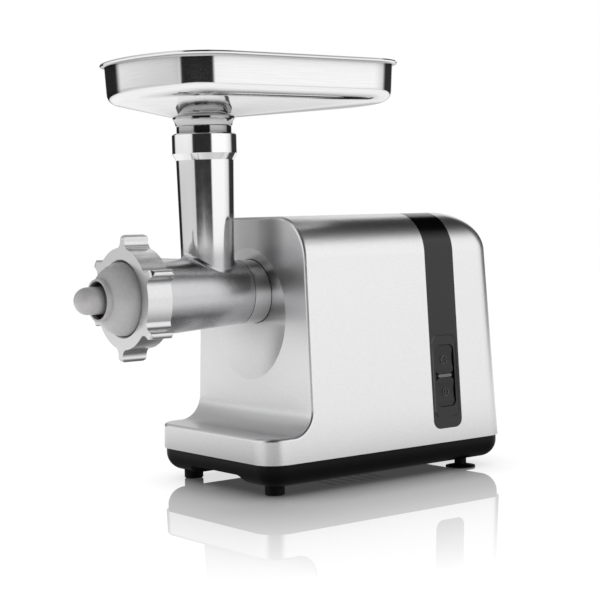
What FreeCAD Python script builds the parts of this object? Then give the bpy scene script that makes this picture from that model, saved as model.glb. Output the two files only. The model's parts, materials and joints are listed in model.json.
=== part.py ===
import FreeCAD, Part
import math
import os

V = FreeCAD.Vector

# How far the middle of a quarter arc stands off its corner, as a share of the radius
arc_bend = 1 - math.sqrt(0.5)

# The outlet points to -X, the button side is -Y and the feet stand on z = 0.
# The origin is under the middle of the overall length. Sizes are in millimetres.

# Body shell, measured outside
body_depth = 201.0
body_width = 156.0
body_top = 207.0
shell_edge_z = 25.0
shell_wall = 3.2
side_draft = 3.0
rear_draft = 1.5
toe_reach = 38.4
toe_top = 44.6
toe_corner = 19.0
cove_radius = 18.0
panel_lean = 1.1
panel_bow = 3.2
rear_corner = 17.0
top_round = 31.0
top_steps = 8
lip_round = 2.5

# Round dish in the front panel
dish_radius = 51.0
dish_depth = 7.0
dish_z = 135.6

# Trim band and buttons
band_from_panel = 123.0
band_width = 30.0
band_thickness = 1.8
band_foot_z = 36.0
band_corner = 7.0
button_width = 19.0
button_pair_height = 48.4
button_z = 77.6
button_corner = 4.5
button_sink = 0.9
button_dish = 0.6
button_depth = 8.0
button_travel = 3.0
button_gap = 0.4
bar_height = 2.4
bar_width = 14.0
bar_corner = 1.1
chute_wall = 2.2
switch_depth = 12.0

# Base and feet
base_floor_z = 7.0
base_step = 1.6
base_wall = 2.6
base_round = 14.0
arch_height = 7.0
arch_half_width = 36.0
arch_depth = 34.0
arch_round = 6.0
foot_radius = 7.5
foot_round = 1.0
front_foot_inset = 20.9
front_foot_y = 55.0
rear_foot_inset = 34.0
rear_foot_y = 59.0
cup_radius = 12.0
cup_height = 2.4
cup_rim = 2.5
cup_edge = 0.8
cup_hollow = 1.0
cup_stem_radius = 4.8
vent_width = 4.0
vent_length = 40.0
vent_pitch = 10.0
vent_count = 6
vent_from_panel = 66.0
base_screw_radius = 1.9
base_screw_head = 3.6
base_screw_sink = 0.6
front_screw_from_panel = 80.0
front_screw_y = 62.0
rear_screw_from_rear = 26.0
rear_screw_y = 44.0
boss_radius = 5.5
boss_top = 70.0

# Output axis and mounting collar
axis_z = 149.6
collar_reach = 8.0
collar_radius = 24.7
collar_bore = 20.8
collar_rim_gap = 0.5
collar_flange_radius = 35.0
collar_flange = 5.0
boss_depth = 13.0
groove_radius = 23.0
groove_width = 6.0
groove_from_front = 7.0
lug_angle = 30.0
entry_spread = 3.0
bayonet_turn = 45.0

# Grinder head
head_gap = 0.4
barrel_length = 95.6
barrel_rear_radius = 24.6
barrel_front_radius = 29.6
bore_radius = 21.5
rear_wall = 7.6
spigot_length = 16.0
spigot_wall = 4.4
thread_radius = 33.0
thread_length = 10.5
thread_ramp = 1.5
recess_radius = 29.5
recess_depth = 6.0
throat_from_rear = 26.2
throat_bore = 17.6
throat_low_radius = 19.7
throat_high_radius = 21.9
throat_high_z = 251.0
throat_collar_radius = 24.6
throat_collar_z = 256.0
throat_top_z = 271.0
throat_edge = 1.0
throat_fillet = 4.0

# Hopper tray
tray_length = 226.6
tray_width = 133.5
tray_corner = 39.0
tray_rim_z = 326.0
tray_rear_reach = 160.6
tray_sheet = 1.0
tray_overhang = 3.2
tray_roll = 2.8
tray_roll_edge = 1.3
tray_draft = 1.0
tray_floor_z = 300.5
tray_bottom_round = 8.0
tray_neck_z = 283.5
neck_high_radius = 22.2
neck_low_radius = 20.9
neck_step_z = 277.0
neck_step = 0.6
neck_bead = 1.6
neck_wall = 1.2
spigot_depth = 26.0
spigot_gap = 0.4
funnel_radius = 23.5
funnel_corner_spread = 16.0

# Ring nut
nut_depth = 20.5
nut_lip = 3.7
nut_radius = 37.6
nut_lug_radius = 47.2
nut_tip_round = 2.9
nut_flank_angle = 9.5
nut_hollow = 0.3
nut_turn = 5.0
nut_lugs = 6
nut_opening = 28.0
nut_edge_round = 3.5
nut_chamfer = 1.0
thread_gap = 0.4
seat_gap = 0.3

# Kibbe attachment
cone_flange = 3.4
cone_flange_radius = 30.4
cone_base_radius = 27.4
cone_exit_radius = 15.7
cone_wall = 1.7
cone_length = 24.3
cone_lip = 3.5
cone_crown_reach = 0.62
cone_crown_height = 0.72
former_nose = 38.3
former_rod_radius = 10.1
former_hub_radius = 11.5
former_hub_length = 4.0
former_taper = 4.0
former_window_radius = 20.0
former_spoke = 8.0
former_spokes = 3

# Feed screw and output shaft
screw_gap = 0.5
screw_front_core = 8.5
screw_rear_core = 12.5
screw_pitch = 26.0
flight_thickness = 4.0
flight_root = 5.6
flight_tip = 2.8
flight_sink = 1.0
stub_radius = 5.0
hub_depth = 6.5
running_gap = 0.1
shank_flats = 13.6
shank_length = 14.0
bush_radius = 9.1
socket_radius = 11.5
output_shaft_radius = 8.0

# Gear train: three equal stages from the motor to the output
pinion_teeth = 14
wheel_teeth = 56
stage_modules = (0.8, 1.0, 1.25)
stage_widths = (7.0, 10.0, 14.0)
tooth_addendum = 0.8
tooth_dedendum = 1.05
pressure_angle = 20.0
backlash = 0.25
stage_gap = 2.5
layshaft_radius = 4.5
second_layshaft_y = 30.0
motor_z = 88.0
gear_clearance = 1.5
wheel_rim = 4.0
case_wall = 3.2
end_wall = 4.0
cover_wall = 6.0
bush_wall = 3.0
case_screw_radius = 2.0
case_screw_head = 3.6
case_lug_radius = 5.5
output_lug_angles = (60.0, 150.0, 210.0)
second_lug_angles = (60.0,)
first_lug_angles = (-30.0, 240.0)

# Motor
fan_gap = 1.0
motor_rear_room = 21.5
stator_half = 40.0
stator_corner = 16.0
air_gap = 0.5
armature_radius = 22.0
armature_slots = 12
slot_width = 3.0
slot_depth = 9.0
winding_radius = 19.0
winding_length = 11.0
winding_round = 3.3
coil_inner = 23.5
coil_outer = 31.0
coil_overhang = 3.4
coil_start_angle = 6.0
coil_side_angle = 34.0
coil_margin = 2.0
motor_shaft_radius = 4.0
motor_shaft_gap = 1.0
bearing_radius = 9.5
bearing_width = 5.0
commutator_radius = 13.0
commutator_length = 18.0
commutator_gap = 5.0
commutator_sleeve = 2.0
riser_length = 3.6
riser_height = 1.5
fan_radius = 29.0
fan_width = 7.0
fan_blades = 9
fan_blade = 1.6
fan_plate = 1.5
fan_blade_gap = 1.0
fan_edge = 0.5
rear_frame_gap = 36.0
rear_frame_thickness = 6.0
rear_frame_half_height = 15.0
bolt_radius = 2.0
bolt_offset = 30.5
post_radius = 5.5
brush_gap = 0.2
brush_height = 7.0
brush_width = 9.0
brush_length = 14.0
brush_station = 9.9
holder_wall = 2.0
pad_thickness = 2.0
pad_half_width = 16.0
pad_width = 8.0
pad_end_share = 0.16

# Board and cord gland
board_thickness = 1.6
board_length = 46.0
board_width = 60.0
board_z = 36.0
board_rear_gap = 14.0
board_post_radius = 3.0
board_inset = 5.0
relay_size = (16.0, 16.0, 7.0)
relay_at = (8.0, -20.0)
choke_radius = 7.0
choke_height = 6.0
choke_at = (16.0, 12.0)
terminal_size = (8.0, 24.0, 8.0)
terminal_at = (30.0, -22.0)
gland_z = 62.0
gland_y = 40.0
gland_radius = 9.0
gland_neck = 6.5
gland_bore = 3.6
gland_lip = 2.0

# Worked-out stations along X
nut_stack = seat_gap + cone_flange + seat_gap + nut_lip
nose_reach = collar_reach + head_gap + barrel_length + nut_stack + former_nose
panel_x = (nose_reach - body_depth) / 2
toe_x = panel_x - toe_reach
rear_x = panel_x + body_depth
collar_front = panel_x - collar_reach
head_rear = collar_front - head_gap
head_front = head_rear - barrel_length
nut_front = head_front - nut_stack
throat_x = head_rear - throat_from_rear
seat_x = panel_x + boss_depth
case_front = seat_x + collar_flange
case_inside = case_front + end_wall
band_x = panel_x + band_from_panel

# Worked-out stations of the gear train
third_x = case_inside + stage_gap
second_x = third_x + stage_widths[2] + stage_gap
first_x = second_x + stage_widths[1] + stage_gap
cover_x = first_x + stage_widths[0] + stage_gap
cover_back = cover_x + cover_wall
fan_x = cover_back + bearing_width + fan_gap
fan_back = fan_x + fan_plate
stator_x = fan_back + winding_length
frame_back = rear_x - motor_rear_room
frame_x = frame_back - rear_frame_thickness
stator_back = frame_x - rear_frame_gap
stator_length = stator_back - stator_x
commutator_x = stator_back + winding_length + commutator_gap


def tan(degrees):
    return math.tan(math.radians(degrees))


def half_width(z):
    """Half the shell's outer width at height z."""
    return body_width / 2 - (z - shell_edge_z) * tan(side_draft)


def rear_face(z):
    """The shell's outer rear at height z."""
    return rear_x - (z - shell_edge_z) * tan(rear_draft)


def box(x0, x1, y0, y1, z0, z1):
    return Part.makeBox(x1 - x0, y1 - y0, z1 - z0, V(x0, y0, z0))


def rod_x(radius, x0, x1, y=0.0, z=axis_z):
    return Part.makeCylinder(radius, x1 - x0, V(x0, y, z), V(1, 0, 0))


def tube_x(radius, bore, x0, x1, y=0.0, z=axis_z):
    return rod_x(radius, x0, x1, y, z).cut(rod_x(bore, x0, x1, y, z))


def rod_z(radius, z0, z1, x, y):
    return Part.makeCylinder(radius, z1 - z0, V(x, y, z0))


def fuse(first, *others):
    return first.multiFuse(list(others)).removeSplitter()


def outline(points):
    """A closed wire. A point stands for a line to it, a pair for an arc through the first."""
    edges = []
    here = points[0]
    for step in points[1:] + points[:1]:
        if isinstance(step, tuple):
            edges.append(Part.Arc(here, step[0], step[1]).toShape())
            here = step[1]
        elif step.distanceToPoint(here) > 1e-6:
            edges.append(Part.LineSegment(here, step).toShape())
            here = step
    return Part.Wire(edges)


def placed(profile, place):
    """The points of a flat profile, arcs included, put in space."""
    return [
        (place(p[0]), place(p[1])) if isinstance(p[0], tuple) else place(p) for p in profile
    ]


def lathe_x(profile, y=0.0, z=axis_z):
    """Turns a profile of (x, radius) points about a line along X."""
    points = placed(profile, lambda p: V(p[0], y, z + p[1]))
    return Part.Face(outline(points)).revolve(V(0, y, z), V(1, 0, 0), 360)


def lathe_z(profile, x, y):
    """Turns a profile of (radius, z) points about a vertical line."""
    points = placed(profile, lambda p: V(x + p[0], y, p[1]))
    return Part.Face(outline(points)).revolve(V(x, y, 0), V(0, 0, 1), 360)


def rounded_plan(x0, x1, half, front, rear, z):
    """A rounded rectangle in plan, with its own corner radius at each end."""
    near = front * arc_bend
    far = rear * arc_bend
    return outline([
        V(x0, half - front, z),
        V(x0, front - half, z),
        (V(x0 + near, near - half, z), V(x0 + front, -half, z)),
        V(x1 - rear, -half, z),
        (V(x1 - far, far - half, z), V(x1, rear - half, z)),
        V(x1, half - rear, z),
        (V(x1 - far, half - far, z), V(x1 - rear, half, z)),
        V(x0 + front, half, z),
        (V(x0 + near, half - near, z), V(x0, half - front, z)),
    ])


def prism(wire, height):
    return Part.Face(wire).extrude(V(0, 0, height))


def turned(shape, degrees, y=0.0, z=axis_z):
    """A copy turned about a line along X."""
    copy = shape.copy()
    copy.rotate(V(0, y, z), V(1, 0, 0), degrees)
    return copy


def hexagon_x(flats, x0, x1):
    """A hexagonal bar on the output axis."""
    reach = flats / math.sqrt(3)
    points = []
    for side in range(6):
        angle = math.radians(60 * side)
        points.append(V(x0, reach * math.cos(angle), axis_z + reach * math.sin(angle)))
    return Part.Face(outline(points)).extrude(V(x1 - x0, 0, 0))


# Body form: one function gives the outer skin and, with an inset, the inner one
def body_plan(inset, drop, z):
    """The body's plan at one height. The drop draws it in where the top is rounded."""
    front = toe_x + inset
    rear = rear_face(z) - inset - drop
    half = half_width(z) - inset - drop
    corner = rear_corner - inset
    bend = corner * arc_bend
    return outline([
        V(front, half, z),
        V(front, -half, z),
        V(rear - corner, -half, z),
        (V(rear - bend, bend - half, z), V(rear, corner - half, z)),
        V(rear, half - corner, z),
        (V(rear - bend, half - bend, z), V(rear - corner, half, z)),
    ])


def body_block(inset, floor_z):
    """The drafted block with rounded rear corners and top edges, before the front is cut."""
    radius = top_round - inset
    spring = body_top - top_round
    plans = []
    for step in range(top_steps + 1):
        angle = math.pi / 2 * step / top_steps
        drop = radius * (1 - math.cos(angle))
        plans.append(body_plan(inset, drop, spring + radius * math.sin(angle)))
    wall = Part.makeLoft([body_plan(inset, 0.0, floor_z), plans[0]], True, True)
    return fuse(wall, Part.makeLoft(plans, True))


def front_notch(inset):
    """What is cut away above the toe: a bowed, leaning panel with a cove at its foot."""
    half = body_width / 2
    radius = (half ** 2 + panel_bow ** 2) / (2 * panel_bow)
    sag = radius - math.sqrt(radius ** 2 - body_width ** 2)
    x = panel_x + inset
    z = toe_top - inset
    ahead = toe_x - toe_reach
    height = body_top
    wire = outline([
        V(ahead, body_width, z),
        V(ahead, -body_width, z),
        V(x + sag, -body_width, z),
        (V(x, 0, z), V(x + sag, body_width, z)),
    ])
    solid = Part.Face(wire).extrude(V(height * tan(panel_lean), 0, height))
    foot = [
        e for e in solid.Edges
        if e.BoundBox.ZMax < z + 0.01 and e.BoundBox.XMin > toe_x and e.BoundBox.YLength > half
    ]
    return solid.makeFillet(cove_radius + inset, foot)


def lies_on(edge, shape):
    """True where the edge's ends and middle lie on the shape."""
    low, high = edge.ParameterRange
    stations = (low, (low + high) / 2, high)
    return all(
        shape.distToShape(Part.Vertex(edge.valueAt(s)))[0] < 0.01 for s in stations
    )


def notched_block(inset, floor_z):
    """The block with its front cut to the panel, the cove and a toe with round corners."""
    solid = body_block(inset, floor_z).cut(front_notch(inset))
    toe = [
        e for e in solid.Edges
        if e.BoundBox.XMax < toe_x + inset + 0.01 and e.BoundBox.ZLength > cove_radius / 2
    ]
    return solid.makeFillet(toe_corner - inset, toe)


def outer_form():
    """The shell's outer skin as a solid, with the rolled lip round the front panel."""
    notch = front_notch(0.0)
    solid = notched_block(0.0, shell_edge_z)
    lip = []
    for edge in solid.Edges:
        size = edge.BoundBox
        behind_toe = size.XMin > toe_x + lip_round
        across_panel = size.YLength > body_width / 2 and behind_toe and size.ZMax < axis_z
        if lies_on(edge, notch) and not across_panel:
            lip.append(edge)
    return solid.makeFillet(lip_round, lip)


def dish_ball(extra):
    """The ball whose cap is the round dish in the front panel."""
    radius = (dish_radius ** 2 + dish_depth ** 2) / (2 * dish_depth)
    plane = panel_x + (dish_z - toe_top) * tan(panel_lean)
    centre = V(plane + dish_depth - radius, 0, dish_z)
    reach = rod_x(dish_radius + panel_bow, toe_x, seat_x, 0.0, dish_z)
    return Part.makeSphere(radius + extra, centre).common(reach)


# Frame on the button side: x along the body, y inwards from the skin, z up the wall
wall_frame = FreeCAD.Placement(
    V(band_x + band_width / 2, -half_width(button_z), button_z),
    FreeCAD.Rotation(V(1, 0, 0), -side_draft),
)
button_inner = button_sink + button_depth
switch_front = button_inner + button_travel + button_gap
key_height = (button_pair_height - bar_height) / 2 - button_gap


def key_prism(width, height, corner, depth0, depth1, z):
    """A rounded bar in the wall frame, from one depth to another."""
    wire = rounded_plan(-width / 2, width / 2, height / 2, corner, corner, 0)
    solid = prism(wire, depth1 - depth0)
    solid.rotate(V(0, 0, 0), V(1, 0, 0), -90)
    solid.translate(V(0, depth0, z))
    return solid


def on_wall(solid):
    return solid.transformGeometry(wall_frame.toMatrix())


def key_opening(grow, depth0, depth1):
    return on_wall(key_prism(
        button_width + 2 * grow, button_pair_height + 2 * grow, button_corner + grow,
        depth0, depth1, 0.0,
    ))


def band_slab(thickness):
    """The strap-shaped space of the trim band, from the skin inwards."""
    x0 = band_x
    x1 = band_x + band_width
    reach = body_width / 2 + 1
    bend = band_corner * arc_bend

    def at(x, z):
        return V(x, -reach, z)
    front = outline([
        at(x0, band_foot_z + band_corner),
        (at(x0 + bend, band_foot_z + bend), at(x0 + band_corner, band_foot_z)),
        at(x1 - band_corner, band_foot_z),
        (at(x1 - bend, band_foot_z + bend), at(x1, band_foot_z + band_corner)),
        at(x1, body_top + 1),
        at(x0, body_top + 1),
    ])
    slab = Part.Face(front).extrude(V(0, 2 * reach, 0))
    return slab.cut(body_block(thickness, shell_edge_z))


def screw_places():
    """Where the base screws stand, in two pairs."""
    pairs = (
        (panel_x + front_screw_from_panel, front_screw_y),
        (rear_x - rear_screw_from_rear, rear_screw_y),
    )
    return [(x, side * y) for x, y in pairs for side in (-1, 1)]


skin = outer_form()


def make_body_shell():
    cavity = notched_block(shell_wall, shell_edge_z - shell_wall).cut(dish_ball(shell_wall))
    shell = skin.cut(cavity)
    boss = rod_x(collar_flange_radius, panel_x, seat_x).common(skin)
    posts = []
    holes = []
    for x, y in screw_places():
        edge = math.copysign(half_width(shell_edge_z), y)
        posts.append(rod_z(boss_radius, shell_edge_z, boss_top, x, y))
        posts.append(box(
            x - shell_wall / 2, x + shell_wall / 2, min(y, edge), max(y, edge),
            shell_edge_z, boss_top,
        ))
        holes.append(rod_z(base_screw_radius, shell_edge_z, boss_top - boss_radius, x, y))
    webs = [post.common(skin) for post in posts]
    chute = key_opening(button_gap + chute_wall, 0.0, switch_front).common(skin)
    shell = fuse(shell, boss, chute, *webs)
    shell = shell.cut(dish_ball(0.0))
    cuts = [
        rod_x(collar_radius + collar_rim_gap, toe_x, seat_x),
        band_slab(band_thickness),
        key_opening(button_gap, -1.0, switch_front),
        rod_x(gland_neck, panel_x + body_depth / 2, rear_x + 1, gland_y, gland_z),
    ]
    return shell.cut(Part.makeCompound(cuts + holes))


def make_trim_band():
    band = skin.common(band_slab(band_thickness))
    return band.cut(key_opening(button_gap, -1.0, button_inner))


def make_key(centre):
    """A push button with a dished face and a foot that meets the switch."""
    key = key_prism(button_width, key_height, button_corner, button_sink, button_inner, centre)
    dish = Part.makeCylinder(key_height * 2, button_width, V(0, 0, 0), V(1, 0, 0))
    dish.translate(V(-button_width / 2, button_sink + button_dish - key_height * 2, centre))
    return on_wall(key.cut(dish))


def make_indicator_bar():
    bar = key_prism(bar_width, bar_height, bar_corner, button_sink / 2, switch_front, 0.0)
    return on_wall(bar)


def make_switch_block():
    grow = button_gap + chute_wall
    block = key_prism(
        button_width + 2 * grow, button_pair_height + 2 * grow, button_corner + grow,
        switch_front, switch_front + switch_depth, 0.0,
    )
    return on_wall(block)


# Base
def base_form(inset, floor_z, top_z):
    front = toe_x + base_step + inset
    rear = rear_x - base_step - inset
    half = body_width / 2 - base_step - inset
    wire = rounded_plan(
        front, rear, half, toe_corner - base_step - inset, rear_corner - base_step - inset, floor_z
    )
    solid = prism(wire, top_z - floor_z)
    under = [e for e in solid.Edges if e.BoundBox.ZMax < floor_z + 0.01]
    return solid.makeFillet(base_round - inset, under)


def base_arch(grow):
    """The raised hollow under the toe, between the front feet."""
    x0 = toe_x - 1
    solid = box(
        x0, x0 + arch_depth + grow, -arch_half_width - grow, arch_half_width + grow,
        0, base_floor_z + arch_height + grow,
    )
    roof = base_floor_z + arch_height + grow
    edges = [
        e for e in solid.Edges
        if e.BoundBox.ZMin > roof - 0.01 and e.BoundBox.XMax > x0 + 1
    ]
    return solid.makeFillet(arch_round, edges)


base_outer = base_form(0.0, base_floor_z, shell_edge_z)
board_x = rear_face(board_z) - shell_wall - board_rear_gap - board_length
pad_end_gap = pad_end_share * stator_length
pad_stations = (stator_x + pad_end_gap, stator_back - pad_end_gap - pad_width)
pad_z = motor_z - stator_half - pad_thickness


def board_posts():
    """Where the board stands on its posts."""
    found = []
    for x in (board_x + board_inset, board_x + board_length - board_inset):
        for y in (-board_width / 2 + board_inset, board_width / 2 - board_inset):
            found.append((x, y))
    return found


def make_base():
    inner_floor = base_floor_z + base_wall
    cavity = base_form(base_wall, inner_floor, shell_edge_z + 1)
    shell = base_outer.cut(cavity.cut(base_arch(base_wall)))
    saddles = [
        box(x, x + pad_width, -pad_half_width, pad_half_width, inner_floor, pad_z)
        for x in pad_stations
    ]
    posts = [rod_z(board_post_radius, inner_floor, board_z, x, y) for x, y in board_posts()]
    towers = [rod_z(boss_radius, inner_floor, shell_edge_z, x, y) for x, y in screw_places()]
    shell = fuse(shell, *(saddles + posts + towers)).cut(base_arch(0.0))
    cuts = []
    for n in range(vent_count):
        x = panel_x + vent_from_panel + n * vent_pitch
        cuts.append(box(x, x + vent_width, -vent_length / 2, vent_length / 2, 0, inner_floor + 1))
    for x, y in screw_places():
        cuts.append(rod_z(base_screw_radius, 0, shell_edge_z, x, y))
        cuts.append(rod_z(base_screw_head, 0, base_floor_z + base_wall, x, y))
    return shell.cut(Part.makeCompound(cuts))


def make_base_screws():
    screws = []
    for x, y in screw_places():
        head_top = base_floor_z + base_wall
        screw = rod_z(base_screw_head, base_floor_z + base_screw_sink, head_top, x, y)
        shank = rod_z(base_screw_radius, head_top, boss_top - 2 * boss_radius, x, y)
        screws.append(fuse(screw, shank))
    return Part.makeCompound(screws)


def make_front_feet():
    feet = []
    for side in (-1, 1):
        x = toe_x + front_foot_inset
        foot = rod_z(foot_radius, 0, base_floor_z + base_wall, x, side * front_foot_y)
        sole = [e for e in foot.Edges if e.BoundBox.ZMax < 0.01]
        feet.append(foot.makeFillet(foot_round, sole).cut(base_outer))
    return Part.makeCompound(feet)


def make_rear_feet():
    feet = []
    for side in (-1, 1):
        x = rear_x - rear_foot_inset
        profile = [
            (0, cup_hollow),
            (cup_radius - cup_rim, 0),
            (cup_radius, 0),
            (cup_radius, cup_edge),
            (cup_stem_radius, cup_height),
            (cup_stem_radius, base_floor_z + base_wall),
            (0, base_floor_z + base_wall),
        ]
        feet.append(lathe_z(profile, x, side * rear_foot_y).cut(base_outer))
    return Part.makeCompound(feet)


# Collar that the head plugs into
def bayonet_lug(radius, x0, x1, grow):
    """One sector lug at the top, reaching from the spigot out to a radius."""
    half = lug_angle / 2 + grow
    y = radius * 2 * tan(half)
    z = axis_z + radius * 2
    wedge = outline([V(x0, 0, axis_z), V(x0, -y, z), V(x0, y, z)])
    return Part.Face(wedge).extrude(V(x1 - x0, 0, 0)).common(rod_x(radius, x0, x1))


groove_x = collar_front + groove_from_front
lug_radius = groove_radius - seat_gap
lug_x = groove_x + seat_gap


def make_mount_collar():
    flange = rod_x(collar_flange_radius, seat_x, case_front)
    collar = fuse(rod_x(collar_radius, collar_front, case_front), flange)
    cuts = [
        rod_x(collar_bore, collar_front, case_front),
        rod_x(groove_radius, groove_x, groove_x + groove_width),
    ]
    for half_turn in (0, 180):
        entry = bayonet_lug(groove_radius, collar_front, groove_x + 1, entry_spread)
        cuts.append(turned(entry, half_turn + bayonet_turn))
    return collar.cut(Part.makeCompound(cuts))


# Grinder head
def make_head_casting():
    spigot_radius = collar_bore - seat_gap
    thread_x = head_front + thread_length
    outer = lathe_x([
        (head_rear + spigot_length, 0),
        (head_rear + spigot_length, spigot_radius),
        (head_rear, spigot_radius),
        (head_rear, barrel_rear_radius),
        (thread_x + thread_ramp, barrel_front_radius),
        (thread_x, thread_radius),
        (head_front, thread_radius),
        (head_front, 0),
    ])
    throat = lathe_z([
        (0, axis_z),
        (throat_low_radius, axis_z),
        (throat_high_radius, throat_high_z),
        (throat_collar_radius, throat_collar_z),
        (throat_collar_radius, throat_top_z - throat_edge),
        (throat_collar_radius - throat_edge, throat_top_z),
        (0, throat_top_z),
    ], throat_x, 0)
    solid = fuse(outer, throat)
    joint = [
        e for e in solid.Edges
        if axis_z < e.BoundBox.ZMin < axis_z + thread_radius
        and abs(e.BoundBox.Center.x - throat_x) < throat_fillet
        and throat_low_radius < e.BoundBox.XLength < 3 * throat_low_radius
    ]
    solid = solid.makeFillet(throat_fillet, joint)
    lug = bayonet_lug(lug_radius, lug_x, groove_x + groove_width - seat_gap, 0)
    solid = fuse(solid, lug, turned(lug, 180))
    cuts = [
        rod_x(bore_radius, head_front - 1, head_rear - rear_wall),
        rod_x(recess_radius, head_front - 1, head_front + recess_depth),
        rod_x(bush_radius + running_gap, head_front, head_rear + 1),
        rod_x(spigot_radius - spigot_wall, head_rear, head_rear + spigot_length + 1),
        rod_z(throat_bore, axis_z, throat_top_z + 1, throat_x, 0),
    ]
    return solid.cut(Part.makeCompound(cuts))


# Hopper tray
tray_rear = throat_x + tray_rear_reach
tray_front = tray_rear - tray_length


def tray_plan(inset, z):
    corner = tray_corner - inset
    half = tray_width / 2 - inset
    return rounded_plan(tray_front + inset, tray_rear - inset, half, corner, corner, z)


def tray_form(sheet):
    """The pan with its funnel bottom. A sheet thickness gives its inside."""
    top = tray_rim_z
    floor = tray_floor_z + sheet
    rim = tray_overhang + sheet
    pan = Part.makeLoft([tray_plan(rim + tray_draft, floor), tray_plan(rim, top)], True, True)
    under = [e for e in pan.Edges if e.BoundBox.ZMax < floor + 0.01]
    pan = pan.makeFillet(tray_bottom_round - sheet, under)
    start = rim + tray_draft + tray_bottom_round - sheet
    funnel = Part.makeLoft([
        split_circle(funnel_radius - sheet, tray_neck_z + sheet),
        tray_plan(start, floor),
    ], True, True)
    return fuse(pan, funnel)


def split_circle(radius, z):
    """A circle round the neck, in eight arcs that pair with a rounded plan's edges."""
    spread = math.radians(funnel_corner_spread)
    half = tray_width / 2
    corners = [(tray_front, half), (tray_front, -half), (tray_rear, -half), (tray_rear, half)]
    stops = []
    for n, (x, y) in enumerate(corners):
        angle = math.atan2(y, x - throat_x) + (2 * math.pi if n > 0 else 0)
        stops += [angle - spread, angle + spread]
    stops[-2] += 2 * math.pi if stops[-2] < stops[-3] else 0
    stops[-1] += 2 * math.pi if stops[-1] < stops[-2] else 0
    stops = stops[1:] + [stops[0] + 2 * math.pi]

    def at(angle):
        return V(throat_x + radius * math.cos(angle), radius * math.sin(angle), z)
    edges = []
    for n, angle in enumerate(stops):
        stop = stops[n + 1] if n + 1 < len(stops) else stops[0] + 2 * math.pi
        edges.append(Part.Arc(at(angle), at((angle + stop) / 2), at(stop)).toShape())
    return Part.Wire(edges)


def make_hopper_tray():
    roll = prism(tray_plan(0, tray_rim_z - tray_roll), tray_roll)
    level = [e for e in roll.Edges if e.BoundBox.ZLength < 0.01]
    roll = roll.makeFillet(tray_roll_edge, level)
    spigot_low = throat_top_z - spigot_depth
    spigot_radius = throat_bore - spigot_gap
    neck = lathe_z([
        (0, spigot_low),
        (spigot_radius, spigot_low),
        (spigot_radius, throat_top_z + seat_gap),
        (neck_low_radius, throat_top_z + seat_gap),
        (neck_low_radius, neck_step_z - neck_step),
        (neck_low_radius + neck_step, neck_step_z),
        (neck_high_radius, tray_neck_z - 2 * neck_bead),
        (funnel_radius, tray_neck_z - neck_bead),
        (funnel_radius, tray_neck_z + tray_sheet),
        (0, tray_neck_z + tray_sheet),
    ], throat_x, 0)
    solid = fuse(roll, tray_form(0.0), neck)
    bore = rod_z(spigot_radius - neck_wall, spigot_low - 1, tray_floor_z, throat_x, 0)
    return solid.cut(fuse(tray_form(tray_sheet), bore))


# Ring nut
def nut_outline(x):
    """Lugs with hollow flanks round the base circle."""
    shoulder = nut_lug_radius - nut_tip_round
    lug = math.asin(nut_tip_round / shoulder)
    flank = math.radians(nut_flank_angle)
    hollow = lug + (flank - lug) * nut_hollow
    hollow_radius = nut_radius + (shoulder - nut_radius) * nut_hollow
    pitch = 2 * math.pi / nut_lugs

    def at(radius, angle):
        return V(x, radius * math.cos(angle), axis_z + radius * math.sin(angle))
    first = math.pi / 2 + math.radians(nut_turn)
    points = [at(shoulder, first - lug)]
    for n in range(nut_lugs):
        middle = first + n * pitch
        after = middle + pitch
        points.append((at(nut_lug_radius, middle), at(shoulder, middle + lug)))
        points.append((at(hollow_radius, middle + hollow), at(nut_radius, middle + flank)))
        points.append((at(nut_radius, middle + pitch / 2), at(nut_radius, after - flank)))
        points.append((at(hollow_radius, after - hollow), at(shoulder, after - lug)))
    return outline(points)


def make_ring_nut():
    back = nut_front + nut_depth
    block = Part.Face(nut_outline(nut_front)).extrude(V(nut_depth, 0, 0))
    r = nut_edge_round
    bend = r * arc_bend
    rounded = lathe_x([
        (nut_front, 0),
        (back, 0),
        (back, nut_lug_radius - r),
        ((back - bend, nut_lug_radius - bend), (back - r, nut_lug_radius)),
        (nut_front + r, nut_lug_radius),
        ((nut_front + bend, nut_lug_radius - bend), (nut_front, nut_lug_radius - r)),
    ])
    bore = lathe_x([
        (nut_front - nut_chamfer, 0),
        (nut_front - nut_chamfer, nut_opening + 2 * nut_chamfer),
        (nut_front + nut_chamfer, nut_opening),
        (nut_front + nut_lip, nut_opening),
        (nut_front + nut_lip, thread_radius + thread_gap),
        (back + 1, thread_radius + thread_gap),
        (back + 1, 0),
    ])
    return block.common(rounded).cut(bore)


# Kibbe attachment
cone_back = head_front - seat_gap
cone_front = cone_back - cone_flange


def dome(inset, tail):
    """The cone's outer profile, or its inside, as (x, radius) points from the flange forward."""
    rim = cone_front - cone_length
    base = cone_base_radius - inset
    tip = cone_exit_radius - inset
    neck = rim + cone_lip
    crown = cone_front - (cone_length - cone_lip) * cone_crown_reach
    middle = tip + (base - tip) * cone_crown_height
    return [(tail, base), (cone_front, base), ((crown, middle), (neck, tip)), (rim - inset, tip)]


def make_kibbe_cone():
    rim = cone_front - cone_length
    outside = [(cone_back, 0), (cone_back, cone_flange_radius), (cone_front, cone_flange_radius)]
    outer = lathe_x(outside + dome(0.0, cone_front)[1:] + [(rim, 0)])
    inner = dome(cone_wall, cone_back + 1)
    inner = lathe_x([(cone_back + 1, 0)] + inner + [(rim - cone_wall, 0)])
    return outer.cut(inner)


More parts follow.
